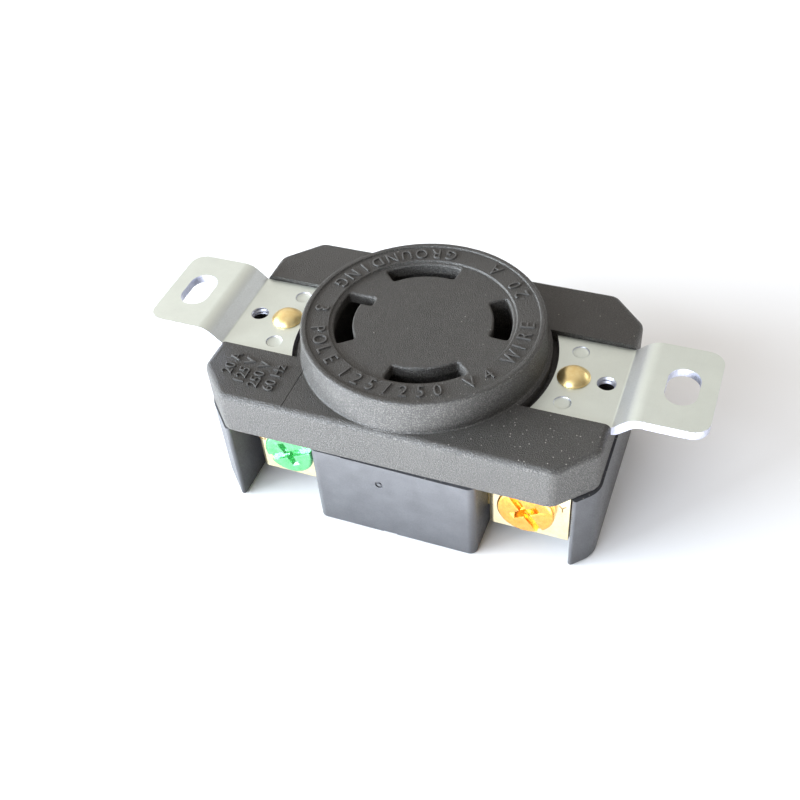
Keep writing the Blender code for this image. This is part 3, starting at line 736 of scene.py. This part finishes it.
def face_disc():
    """The round face: lip, lettered ring, sunk centre and drafted side."""
    lip_edge = 0.45
    profile = [(0.0, CENTRE_TOP), (6.0, CENTRE_TOP), (CENTRE_RADIUS - 0.25, CENTRE_TOP)]
    profile += arc(0.2, -90.0, -15.0, (CENTRE_RADIUS - 0.22, CENTRE_TOP + 0.2), 25.0)
    profile += arc(0.14, 165.0, 90.0, (CENTRE_RADIUS + 0.14, RING_TOP - 0.14), 25.0)
    profile += [(LIP_INNER_RADIUS - 0.2, RING_TOP)]
    profile += arc(0.12, -90.0, -20.0, (LIP_INNER_RADIUS - 0.06, RING_TOP + 0.12), 35.0)
    profile += arc(0.12, 160.0, 90.0, (LIP_INNER_RADIUS + 0.18, FACE_TOP - 0.12), 35.0)
    profile += arc(lip_edge, 90.0, 0.0, (FACE_RADIUS_TOP - lip_edge, FACE_TOP - lip_edge), 15.0)
    profile += [(FACE_RADIUS_BOTTOM, COVER_TOP + 0.45)]
    profile += arc(0.35, 180.0, 250.0, (FACE_RADIUS_BOTTOM + 0.37, COVER_TOP + 0.34), 17.5)
    profile += [(FACE_RADIUS_BOTTOM + 0.35, COVER_TOP - 0.6), (0.0, COVER_TOP - 0.6)]
    return turned("face_disc", profile, FACE_STEPS)


def recess_tool(sign):
    """What the ear lies in: from the neck ring out past the end of the cover."""
    half_angle = math.degrees(math.asin(RECESS_HALF_WIDTH / NECK_RADIUS))
    neck = arc(NECK_RADIUS, half_angle, -half_angle, step=2.0)
    past_end = COVER_HALF_LENGTH + 5.0
    outline = neck + [(past_end, -RECESS_HALF_WIDTH), (past_end, RECESS_HALF_WIDTH)]
    tool = slab("recess", outline, EAR_LOW.z - SEAT, COVER_TOP + 1.5)
    if sign < 0:
        half_turn(tool)
    return tool


def bore_tools(blind_floor):
    """The rivets' through holes, and blind ones under the tapped holes."""
    blind_bore = TAPPED_HOLE_DIAMETER + 1.0
    tools = []
    for sign in (-1.0, 1.0):
        tools += [drill_down(RIVET_BORE, sign * RIVET_X, -5.0, ABOVE_ALL),
                  drill_down(blind_bore, sign * PLATE_SCREW_X, blind_floor, ABOVE_ALL)]
    return tools


def is_recess_rim(point):
    inside = abs(point.y) < RECESS_HALF_WIDTH + 0.1 and abs(point.x) > 18.0
    return inside and abs(point.z - COVER_TOP) < 0.02


def build_cover():
    corners = cover_corners()
    count = len(corners)
    cover = moulded_block(
        "cover_shell", corners, [CORNER_RADIUS] * count, [COVER_EDGE_RADIUS] * count,
        COVER_TOP, PARTING_PLANE)
    boolean(cover, [recess_tool(1.0), recess_tool(-1.0)])
    boolean(cover, [face_disc()], "UNION")
    tools = []
    for pole, (start, end) in SLOT_ANGLES.items():
        mouth = slot_mouth(*SLOT_RADII, start, end, SLOT_CORNER_RADIUS, pole == "ground")
        tools.append(flared_cutter(
            f"slot_{pole}", mouth, PARTING_PLANE - 2.0, CENTRE_TOP, SLOT_EDGE_RADIUS))
        inner = GROUND_CHAMBER_RADIUS if pole == "ground" else SLOT_RADII[0] - HOOK_ROOM_MARGIN
        outer = SLOT_RADII[1] + HOOK_ROOM_MARGIN
        room = sector(inner, outer, start - HOOK_SWEEP + 2.0, end + 1.0)
        tools.append(slab(f"room_{pole}", room, PARTING_PLANE - 2.0, HOOK_ROOM_TOP))
    tools += bore_tools(PARTING_PLANE - OVERCUT)
    tools.append(box(
        "panel_line",
        (PANEL_LINE_X - PANEL_LINE_HALF_WIDTH, -COVER_HALF_WIDTH - OVERCUT,
         COVER_TOP - PANEL_LINE_DEPTH),
        (PANEL_LINE_X + PANEL_LINE_HALF_WIDTH, -RECESS_HALF_WIDTH - 0.6, COVER_TOP + OVERCUT)))
    boolean(cover, tools)
    soften(cover, 0.22, 2, is_recess_rim)
    place(cover, "housing", "cover_plastic", "front_cover")


def base_plan():
    """Corners of the base with its four pockets, and the radius of each corner and side.

    The front half is listed from left to right; the rear half is the same after
    half a turn.  A side belongs to the corner that it starts from.
    """
    x = BASE_HIGH.x + BASE_OVERHANG
    y = BASE_HIGH.y
    x_cut = x - CHAMFER_ALONG_X
    y_cut = y - CHAMFER_ALONG_Y

    def on_chamfer(place_x):
        return -y + (abs(place_x) - x_cut) * (CHAMFER_ALONG_Y / CHAMFER_ALONG_X)

    left_out, left_in = GROUND_POCKET
    right_in, right_out = LIVE_POCKET
    outer = BASE_EDGE_RADIUS
    inner = POCKET_EDGE_RADIUS
    tip = WALL_TIP_RADIUS
    nook = POCKET_CORNER_RADIUS
    front = [
        ((-x, -y_cut), BASE_CORNER_RADIUS, outer),
        ((left_out, on_chamfer(left_out)), tip, inner),
        ((left_out, -POCKET_BACK), nook, inner),
        ((left_in, -POCKET_BACK), nook, inner),
        ((left_in, -y), BLOCK_CORNER_RADIUS, outer),
        ((right_in, -y), BLOCK_CORNER_RADIUS, inner),
        ((right_in, -POCKET_BACK), nook, inner),
        ((right_out, -POCKET_BACK), nook, inner),
        ((right_out, on_chamfer(right_out)), tip, outer),
        ((x, -y_cut), BASE_CORNER_RADIUS, outer),
    ]
    return front + [((-x, -y), radius, edge) for (x, y), radius, edge in front]


def strip_path(pole):
    """A contact strip in plan: a straight tab, then the jaw beside its slot."""
    if pole.startswith("live"):
        meet = -math.degrees(math.asin(-TAB_Y / JAW_RADIUS))
        return [(CONTACT_HIGH.x, TAB_Y)] + arc(JAW_RADIUS, meet, LIVE_JAW_END)
    meet = 180.0 + math.degrees(math.acos(-GROUND_STRIP_X / JAW_RADIUS))
    jaw = arc(JAW_RADIUS, meet, GROUND_JAW_END)
    tab_end = node_box("contact_ground")[0].x
    corners = [(tab_end, TAB_Y), (GROUND_STRIP_X, TAB_Y), jaw[0]]
    return rounded_path(corners, STRIP_THICKNESS)[:-1] + jaw


def front_box(node, pole):
    """A pole's node as it stands at the front, before a rear pole's half turn."""
    low, high = node_box(f"{node}_{pole}")
    if POLES[pole]["rear"]:
        return Vector((-high.x, -high.y, low.z)), Vector((-low.x, -low.y, high.z))
    return low, high


def screw_centre(pole):
    """Centre of the head's face, on the front side."""
    low, high = front_box("terminal_screw", pole)
    return Vector(((low.x + high.x) / 2, low.y, (low.z + high.z) / 2))


def parting_rebate():
    """Opens the parting gap a little along the right, growing towards the right end."""
    start, end = -7.0, COVER_HALF_LENGTH + 3.0
    start_z, end_z = BASE_HIGH.z - 0.10, BASE_HIGH.z - 0.80
    reach = COVER_HALF_WIDTH + 3.0
    low = [(start, -reach, start_z), (end, -reach, end_z),
           (end, reach, end_z), (start, reach, start_z)]
    rebate = skin("rebate", [low, [(x, y, BASE_HIGH.z + OVERCUT) for x, y, _ in low]])
    core = cover_corners()
    boolean(rebate, [slab("core", inset_corners(core, [0.6] * len(core)), 0.0, ABOVE_ALL)])
    return rebate


def build_base():
    corners, corner_radii, edge_radii = zip(*base_plan())
    base = moulded_block("base_shell", corners, corner_radii, edge_radii, BASE_LOW.z, BASE_HIGH.z)
    for pole, (start, end) in SLOT_ANGLES.items():
        centre = screw_centre(pole)
        tip_y = centre.y + HEAD_THICKNESS + SHANK_LENGTH + TIP_ROOM
        tools = [
            ribbon("strip_slot", strip_path(pole), CONTACT_LOW.z - GAP, ABOVE_BASE,
                   STRIP_THICKNESS + STRIP_PLAY),
            drill_in(2 * SHANK_RADIUS + 1.0, centre, -POCKET_BACK - OVERCUT, tip_y, ROUND_STEPS),
        ]
        to_own_side(pole, *tools)
        inner = GROUND_CHAMBER_RADIUS if pole == "ground" else CHAMBER_RADII[0]
        chamber = sector(inner, CHAMBER_RADII[1], start - HOOK_SWEEP, end + 2.0)
        tools.append(slab("chamber", chamber, CHAMBER_FLOOR, ABOVE_BASE))
        boolean(base, tools)
    tools = bore_tools(9.0)
    tools.append(box("groove", (STRAP_LOW.x - GAP, STRAP_LOW.y - GAP, -OVERCUT),
                     (STRAP_HIGH.x + GAP, STRAP_HIGH.y + GAP, STRAP_HIGH.z + GAP)))
    tools.append(slab("link_bed", link_outline(GAP), LINK_LOW.z - GAP, ABOVE_BASE))
    tools.append(parting_rebate())
    front = BASE_LOW.y
    ring = drill_in(GATE_DIAMETERS[1], GATE, front - OVERCUT, front + GATE_DEPTH, GATE_STEPS)
    boolean(ring, [drill_in(GATE_DIAMETERS[0], GATE, front - 2.0, front + OVERCUT, GATE_STEPS)])
    tools.append(ring)
    tools.append(box("foot_notch", (NOTCH_X[0], front - OVERCUT, -OVERCUT),
                     (NOTCH_X[1], front + NOTCH_DEPTH, NOTCH_HEIGHT)))
    boolean(base, tools)
    place(base, "housing", "base_plastic", "rear_base")


# ---- ears ----

def ear_plan():
    half_angle = math.degrees(math.asin(EAR_HIGH.y / EAR_INNER_RADIUS))
    concave = arc(EAR_INNER_RADIUS, half_angle, -half_angle, step=2.0)
    inset = EAR_HIGH.x - EAR_CORNER_RADIUS
    side = EAR_HIGH.y - EAR_CORNER_RADIUS
    lower = arc(EAR_CORNER_RADIUS, -90.0, 0.0, (inset, -side), 6.0)
    upper = arc(EAR_CORNER_RADIUS, 0.0, 90.0, (inset, side), 6.0)
    return concave + lower + upper


def dimple_tool(spot):
    """A shallow dish: steep at its rim, nearly flat in the middle."""
    radius = DIMPLE_DIAMETER / 2
    profile = [(0.0, 30.0), (radius + 0.05, 30.0), (radius + 0.05, EAR_TOP_INNER)]
    for step in range(9):
        angle = math.radians(10.0 * step)
        profile.append((radius * math.cos(angle) ** 0.6,
                        EAR_TOP_INNER - DIMPLE_DEPTH * math.sin(angle)))
    profile.append((0.0, EAR_TOP_INNER - DIMPLE_DEPTH))
    tool = turned("dimple", profile, 48)
    tool.data.transform(shift_to(*spot, 0.0))
    return tool


def threaded(name, levels, pitch, around, radius_at, centre_x=0.0):
    """A rod whose radius rises to a crest and falls once a pitch, winding round it.

    A level is the distance run along the thread and the height it stands for.
    """
    rings = []
    for run, z in levels:
        ring = []
        for index in range(around):
            phase = (run / pitch + index / around) % 1.0
            radius = radius_at(run, 1.0 - abs(2.0 * phase - 1.0))
            ring.append((*on_circle(radius, 360.0 * index / around, (centre_x, 0.0)), z))
        rings.append(ring)
    return skin(name, rings)


def tapped_hole_tool():
    """A 6-32 thread's grooves as a cutter that passes through the ear."""
    rows = 64
    past = 0.6
    bottom = EAR_TOP_INNER - EAR_THICKNESS - past
    heights = [bottom + (EAR_THICKNESS + 2 * past) * row / rows for row in range(rows + 1)]
    root = TAPPED_HOLE_DIAMETER / 2 - 0.12
    return threaded("tapped_hole", [(z, z) for z in heights], 25.4 / 32, 40,
                    lambda _, crest: root + 0.30 * crest, PLATE_SCREW_X)


def build_ear(side, sign):
    slope = math.atan2(EAR_HIGH.z - EAR_TOP_INNER, EAR_BEND_HIGH - EAR_BEND_LOW)
    shift = EAR_THICKNESS / 2 * math.tan(slope / 2)
    low = EAR_TOP_INNER - EAR_THICKNESS / 2
    high = EAR_HIGH.z - EAR_THICKNESS / 2
    corners = [(15.0, low), (EAR_BEND_LOW + shift, low), (EAR_BEND_HIGH + shift, high),
               (EAR_HIGH.x + 5.0, high)]
    half_width = EAR_HIGH.y + 3.0
    path = [corners[0], *corner_arc(*corners[:3], EAR_BEND_RADII[0], 10),
            *corner_arc(*corners[1:], EAR_BEND_RADII[1], 14), corners[3]]
    ear = ribbon(f"ear_plate_{side}", path, -half_width, half_width, EAR_THICKNESS)
    stand_up(ear)
    boolean(ear, [slab("plan", ear_plan(), 15.0, 35.0)], "INTERSECT")
    reach = (EAR_SLOT[1] - EAR_SLOT[0]) / 2
    slot = capsule((BOX_SCREW_X, -reach), (BOX_SCREW_X, reach), EAR_SLOT[0] / 2)
    tools = [slab("slot", slot, *EAR_CUT_Z), drill_down(RIVET_BORE, RIVET_X, *EAR_CUT_Z),
             tapped_hole_tool()]
    for nick_x in NICKS_X:
        tools.append(box("nick", (nick_x - NICK_HALF_WIDTH, EAR_LOW.y - OVERCUT, EAR_CUT_Z[0]),
                         (nick_x + NICK_HALF_WIDTH, EAR_LOW.y + NICK_DEPTH, EAR_CUT_Z[1])))
    tools += [dimple_tool(spot) for spot in DIMPLE_PLACES]
    boolean(ear, tools)
    soften(ear, EAR_EDGE_RADIUS, 3)
    if sign < 0:
        half_turn(ear)
    place(ear, "housing", "zinc_steel", f"mounting_ear_{side}")


# ---- rivets ----

def build_rivet(side, sign):
    """A low dome with a crisp rim, a shank and a clinched tail."""
    head_base = EAR_TOP_INNER + 0.01
    rim = 0.22
    dome_height = 1.15
    dome_radius = RIVET_HEAD_RADIUS - 0.12
    profile = [(0.0, head_base + rim + dome_height)]
    for step in range(1, 15):
        share = math.sin(math.radians(90.0 * step / 14))
        profile.append((dome_radius * share, head_base + rim + dome_height * (1.0 - share ** 2.9)))
    tail_top = STRAP_LOW.z - 0.05
    profile += [
        (RIVET_HEAD_RADIUS - 0.06, head_base + rim - 0.02),
        (RIVET_HEAD_RADIUS, head_base + rim - 0.09),
        (RIVET_HEAD_RADIUS, head_base + 0.06),
        (RIVET_HEAD_RADIUS - 0.06, head_base),
        (RIVET_SHANK_RADIUS, head_base),
        (RIVET_SHANK_RADIUS, tail_top),
        (RIVET_TAIL_RADIUS - 0.1, tail_top),
        (RIVET_TAIL_RADIUS, tail_top - 0.12),
        (RIVET_TAIL_RADIUS - 0.25, RIVET_LOW.z + 0.12),
        (RIVET_TAIL_RADIUS - 0.7, RIVET_LOW.z),
        (1.2, RIVET_LOW.z + 0.04),
        (0.85, RIVET_LOW.z + 0.5),
        (0.0, RIVET_LOW.z + 0.6),
    ]
    rivet = turned(f"rivet_body_{side}", profile, 72)
    rivet.data.transform(shift_to(sign * RIVET_X, 0.0, 0.0))
    place(rivet, "housing", "rivet_brass", f"rivet_{side}")


# ---- contacts, leaves, bonding ----

def build_contact(pole):
    contact = ribbon(f"contact_strip_{pole}", strip_path(pole), CONTACT_LOW.z, CONTACT_HIGH.z,
                     STRIP_THICKNESS)
    boolean(contact, [drill_in(HOLE_DIAMETER, screw_centre(pole), TAB_Y - 3.0, TAB_Y + 3.0)])
    soften(contact, 0.1)
    to_own_side(pole, contact)
    place(contact, "housing", "contact_brass", f"contact_{pole}")


def build_leaf(pole):
    path = rounded_path(LEAF_PATH, 0.8)
    leaf = ribbon(f"leaf_{pole}", path, -LEAF_WIDTH / 2, LEAF_WIDTH / 2, LEAF_THICKNESS)
    stand_up(leaf)
    soften(leaf, 0.08)
    leaf.data.transform(about("Z", LEAF_ANGLES[pole]))
    place(leaf, f"leaf_{pole}", "spring_bronze", f"spring_leaf_{pole}")


def link_outline(extra):
    """A bar round the left rivet that ends over the ground tab."""
    end = (LINK_HIGH.x - LINK_HIGH.y, LINK_LOW.y + LINK_HIGH.y)
    return capsule((-RIVET_X, 0.0), end, LINK_HIGH.y + extra)


def build_bonding():
    half_width = STRAP_HIGH.y
    reach = STRAP_HIGH.x - half_width
    strap = slab("back_strap", capsule((-reach, 0.0), (reach, 0.0), half_width),
                 STRAP_LOW.z, STRAP_HIGH.z)
    bore = 2 * RIVET_SHANK_RADIUS + 0.1
    boolean(strap, [drill_down(bore, sign * RIVET_X, -3.0, 5.0) for sign in (-1.0, 1.0)])
    soften(strap, 0.12)
    place(strap, "housing", "bonding_steel", "bonding_strap")
    link = slab("ground_tie", link_outline(0.0), LINK_LOW.z, LINK_HIGH.z)
    boolean(link, [drill_down(bore, -RIVET_X, 10.0, 20.0)])
    soften(link, 0.1)
    place(link, "housing", "contact_brass", "ground_link")


# ---- terminal screws and plates ----

def lay_over(obj, pole):
    """Move a piece made upright at the origin to its terminal, its top facing out."""
    obj.data.transform(shift_to(*screw_centre(pole)) @ about("X", 90.0))
    to_own_side(pole, obj)


def screw_shank():
    """The screw's thread, blunt at its tip and let a little into the head."""
    rows = int(SHANK_LENGTH / THREAD_PITCH * 8)
    sink = 0.2
    levels = []
    for row in range(rows + 1):
        down = SHANK_LENGTH * row / rows
        levels.append((down, -HEAD_THICKNESS + sink - down * (1.0 + sink / SHANK_LENGTH)))

    def radius_at(down, crest):
        taper = min(1.0, 0.55 + (SHANK_LENGTH - down) / 1.5)
        return (SHANK_RADIUS - THREAD_DEPTH * (1.0 - min(1.0, 1.35 * crest))) * taper

    return threaded("shank", levels, THREAD_PITCH, 32, radius_at)


def rectangle(half_x, half_y, z):
    return [(-half_x, -half_y, z), (half_x, -half_y, z), (half_x, half_y, z), (-half_x, half_y, z)]


def is_drive_edge(point):
    return point.z > -1.4 and math.hypot(point.x, point.y) < 4.3


def build_screw(pole):
    """A round head with a slot and a cross recess, on a threaded shank."""
    spec = POLES[pole]
    head_radius = HEAD_RADIUS - spec.get("smaller", 0.0)
    edge = HEAD_EDGE_RADIUS
    rim = HEAD_RIM_RADIUS
    profile = [(0.0, 0.0), (2.0, 0.0)]
    profile += arc(edge, 90.0, 0.0, (head_radius - edge, -edge), 10.0)
    profile += arc(rim, 0.0, -90.0, (head_radius - rim, -HEAD_THICKNESS + rim), 30.0)
    profile += [(SHANK_RADIUS - 0.2, -HEAD_THICKNESS), (0.0, -HEAD_THICKNESS)]
    screw = turned(f"screw_head_{pole}", profile, 96)
    reach = HEAD_RADIUS + 1.0
    cuts = [box("slot", (-DRIVE_SLOT[0], -reach, -DRIVE_SLOT[1]), (DRIVE_SLOT[0], reach, 1.0))]
    for turn in (0.0, 90.0):
        wing = skin("wing", [rectangle(*level) for level in CROSS_LEVELS])
        wing.data.transform(about("Z", turn))
        cuts.append(wing)
    boolean(screw, cuts)
    soften(screw, 0.09, 2, is_drive_edge)
    boolean(screw, [screw_shank()], "UNION")
    screw.data.transform(about("Z", spec["drive_turn"]))
    lay_over(screw, pole)
    place(screw, f"screw_{pole}", spec["metal"], f"terminal_screw_{pole}")


def build_plate(pole):
    """A pressure plate, its left edge bent back, drilled for its screw; build_pole_letter adds its
    stamped letter.
    """
    low, high = front_box("clamp_plate", pole)
    front = low.y - PLATE_SET_OUT
    back = front + PLATE_THICKNESS
    bend = arc(PLATE_BEND_RADIUS, 180.0, 270.0,
               (low.x + PLATE_BEND_RADIUS, front + PLATE_BEND_RADIUS), 10.0)
    outline = bend + [(high.x, front), (high.x, back), (low.x, back)]
    plate = slab(f"pressure_plate_{pole}", outline, low.z, high.z)
    boolean(plate, [drill_in(HOLE_DIAMETER, screw_centre(pole), front - 2.0, back + 2.0)])
    soften(plate, 0.12)
    to_own_side(pole, plate)
    place(plate, f"clamp_{pole}", "clamp_brass", f"clamp_plate_{pole}")


# ---- lettering ----

def letter_mesh(text, size, depth, squeeze=1.0):
    """Text as a thin solid, centred on the origin, its face towards +Z."""
    curve = bpy.data.curves.new("letter", "FONT")
    curve.body = text
    curve.size = size * MM
    curve.align_x = curve.align_y = "CENTER"
    edge = min(LETTER_BEVEL, depth / 3)
    curve.extrude = (depth / 2 - edge) * MM
    curve.bevel_depth = edge * MM
    curve.bevel_resolution = 1
    curve.offset = -edge * MM
    curve.resolution_u = 3
    guide = new_object("letter", curve)
    guide.scale.x = squeeze
    mesh = evaluated_mesh(guide)
    mesh.transform(guide.matrix_world)
    bpy.data.objects.remove(guide, do_unlink=True)
    return mesh


def lettering(name, style, placed):
    """One object from texts at their places, each letter closed where its parts meet."""
    bm = bmesh.new()
    for text, spot in placed:
        mesh = letter_mesh(text, *style)
        mesh.transform(spot)
        bm.from_mesh(mesh)
    bmesh.ops.remove_doubles(bm, verts=bm.verts, dist=LETTER_MERGE)
    return object_from(name, bm)


RING_TEXTS = [                  # middle angle on the ring and generic wording
    (-150.0, "3 POLE"),
    (-80.0, "125/250 V"),
    (-12.0, "4 WIRE"),
    (50.0, "20 A"),
    (128.0, "GROUNDING"),
]
RING_LETTERS = (3.4, 0.40, 0.85)        # size, depth, squeeze
RING_LETTER_PITCH = 2.6
PANEL_TEXTS = [                 # wording and middle of each line on the front left panel
    ("20 A", (-28.4, -13.6)),
    ("125 V", (-25.6, -14.6)),
    ("250 V", (-22.9, -14.8)),
    ("60 Hz", (-20.2, -14.8)),
]
PANEL_LETTERS = (2.7, 0.50, 0.95)
POLE_LETTERS = (2.1, 0.09)
POLE_LETTER_PLACE = (5.5, 0.9)          # beside the screw's axis, and above it
LETTER_LIFT = 0.02
LETTER_BEVEL = 0.06
LETTER_MERGE = 1e-7                     # in metres


def raise_on_cover(name, style, placed):
    letters = lettering(name, style, placed)
    place(letters, "housing", "cover_plastic", look="letter_plastic")


def build_ring_lettering():
    radius = (CENTRE_RADIUS + LIP_INNER_RADIUS) / 2
    turn = math.degrees(RING_LETTER_PITCH / radius)
    placed = []
    for middle, text in RING_TEXTS:
        for index, character in enumerate(text):
            angle = middle + turn * (index - (len(text) - 1) / 2)
            spot = shift_to(*on_circle(radius, angle), RING_TOP + LETTER_LIFT)
            if character != " ":
                placed.append((character, spot @ about("Z", angle + 90.0)))
    raise_on_cover("ring_lettering", RING_LETTERS, placed)


def build_panel_lettering():
    """Generic ratings on the front-left panel of the cover."""
    raise_on_cover("panel_lettering", PANEL_LETTERS, [
        (text, shift_to(*spot, COVER_TOP + LETTER_LIFT) @ about("Z", 90.0))
        for text, spot in PANEL_TEXTS])


def build_pole_letter(pole):
    centre = screw_centre(pole)
    front = front_box("clamp_plate", pole)[0].y - PLATE_SET_OUT
    side, above = POLE_LETTER_PLACE
    if not pole.startswith("live"):
        side = -side
    spot = shift_to(centre.x + side, front, centre.z + above) @ about("X", 90.0)
    letter = lettering(f"pole_letter_{pole}", POLE_LETTERS, [(POLES[pole]["letter"], spot)])
    to_own_side(pole, letter)
    # The pole letter is a thin raised mark; its dark colour is painted shade of a stamp.
    place(letter, f"clamp_{pole}", "clamp_brass", look="stamp_mark")


# ---- camera and light ----

CAMERA_PLACE = (48.625, -118.07, 139.386)
CAMERA_AZIMUTH = 24.55
CAMERA_ELEVATION = 44.90
CAMERA_ROLL = -5.28


def build_camera():
    """Above the front right, 45 degrees down, slightly rolled."""
    camera = bpy.data.cameras.new("camera")
    camera.sensor_width = 36.0
    camera.lens = 47.0
    camera.clip_start = 0.01
    camera.clip_end = 20.0
    obj = new_object("camera", camera)
    turn = about("Z", CAMERA_AZIMUTH) @ about("X", 90.0 - CAMERA_ELEVATION)
    obj.matrix_world = shift_to(*CAMERA_PLACE) @ turn @ about("Z", CAMERA_ROLL)
    bpy.context.scene.camera = obj


LIGHTS = {                      # azimuth from +X, elevation, distance, size, power, colour
    "key": (214.0, 11.0, 1.1, (0.7, 0.3), 41.0, (0.79, 0.89, 1.0)),
    "left_fill": (193.0, 15.0, 1.2, (0.6, 0.4), 7.0, (0.93, 0.96, 1.0)),
    "back_left": (152.0, 38.0, 1.2, (0.8, 0.6), 0.8, (1.0, 0.98, 0.95)),
    "back_right": (44.0, 14.0, 1.2, (0.7, 0.4), 2.0, (0.97, 1.0, 0.97)),
    "front_fill": (252.0, 32.0, 1.2, (0.6, 0.4), 8.5, (0.80, 0.88, 1.0)),
}
LIGHT_TARGET = Vector((0.0, 0.0, 0.015))
GLOW = ((0.40, 0.20), 1.40, (0.90, 0.94, 1.0))          # size, power, colour
GLOW_PLACE = (0.09, -0.135, 0.001)
SKY_BRIGHTEST = Vector((-0.75, 0.25, 0.61))
SKY_STRENGTH = {"From Min": -0.6, "From Max": 0.9, "To Min": 0.23, "To Max": 0.88}
SKY_COLOUR = (1.0, 0.955, 0.91)
FLOOR_GREYS = ((0.86, 0.86, 0.86), (0.88, 0.88, 0.88))
FLOOR_SIZE = 3.0
FLOOR_DROP = 0.00005                                    # keeps it clear of the base


def area_light(name, size, power, colour):
    light = bpy.data.lights.new(name, "AREA")
    light.shape = "RECTANGLE"
    light.size, light.size_y = size
    light.energy = power
    light.color = colour
    return new_object(name, light)


def aimed_light(name, azimuth, elevation, distance, size, power, colour):
    """A soft panel aimed at the object."""
    obj = area_light(name, size, power, colour)
    flat = math.cos(math.radians(elevation))
    away = Vector((*on_circle(flat, azimuth), math.sin(math.radians(elevation))))
    obj.location = LIGHT_TARGET + away * distance
    obj.rotation_euler = away.to_track_quat("Z", "Y").to_euler()


def paper_glow():
    """The lit paper in front, which throws light up at the front faces."""
    obj = area_light("paper_glow", *GLOW)
    obj.location = GLOW_PLACE
    obj.rotation_euler = (math.pi, 0.0, 0.0)
    obj.visible_camera = False


def build_sky():
    """A plain soft sky, brighter towards the upper left."""
    world = bpy.data.worlds.new("studio")
    n = Nodes(world, "Background")
    inputs = {0: n.coords["Generated"], 1: SKY_BRIGHTEST.normalized()}
    towards = n.add("VectorMath", inputs, operation="DOT_PRODUCT").outputs["Value"]
    inputs = {"Value": towards, **SKY_STRENGTH}
    strength = n.add("MapRange", inputs, interpolation_type="SMOOTHSTEP").outputs["Result"]
    n.drive(Color=SKY_COLOUR, Strength=strength)
    bpy.context.scene.world = world


def build_stage():
    bm = bmesh.new()
    bmesh.ops.create_grid(bm, x_segments=1, y_segments=1, size=FLOOR_SIZE)
    floor = object_from("floor", bm)
    floor.location.z = -FLOOR_DROP
    n = MaterialNodes("floor_paper")
    clouds = n.span(n.noise(0.02, 3.0), 0.3, 0.7)
    n.drive(Base_Color=n.mix(clouds, *FLOOR_GREYS), Roughness=0.85)
    floor.data.materials.append(n.material)
    build_sky()
    for name, values in LIGHTS.items():
        aimed_light(name, *values)
    paper_glow()
    bpy.context.scene.view_settings.view_transform = "Standard"


def main():
    build_camera()
    build_stage()
    build_cover()
    build_base()
    for side, sign in (("right", 1.0), ("left", -1.0)):
        build_ear(side, sign)
        build_rivet(side, sign)
    build_bonding()
    for pole in POLES:
        build_contact(pole)
        build_leaf(pole)
        build_plate(pole)
        build_screw(pole)
        build_pole_letter(pole)
    build_ring_lettering()
    build_panel_lettering()


main()
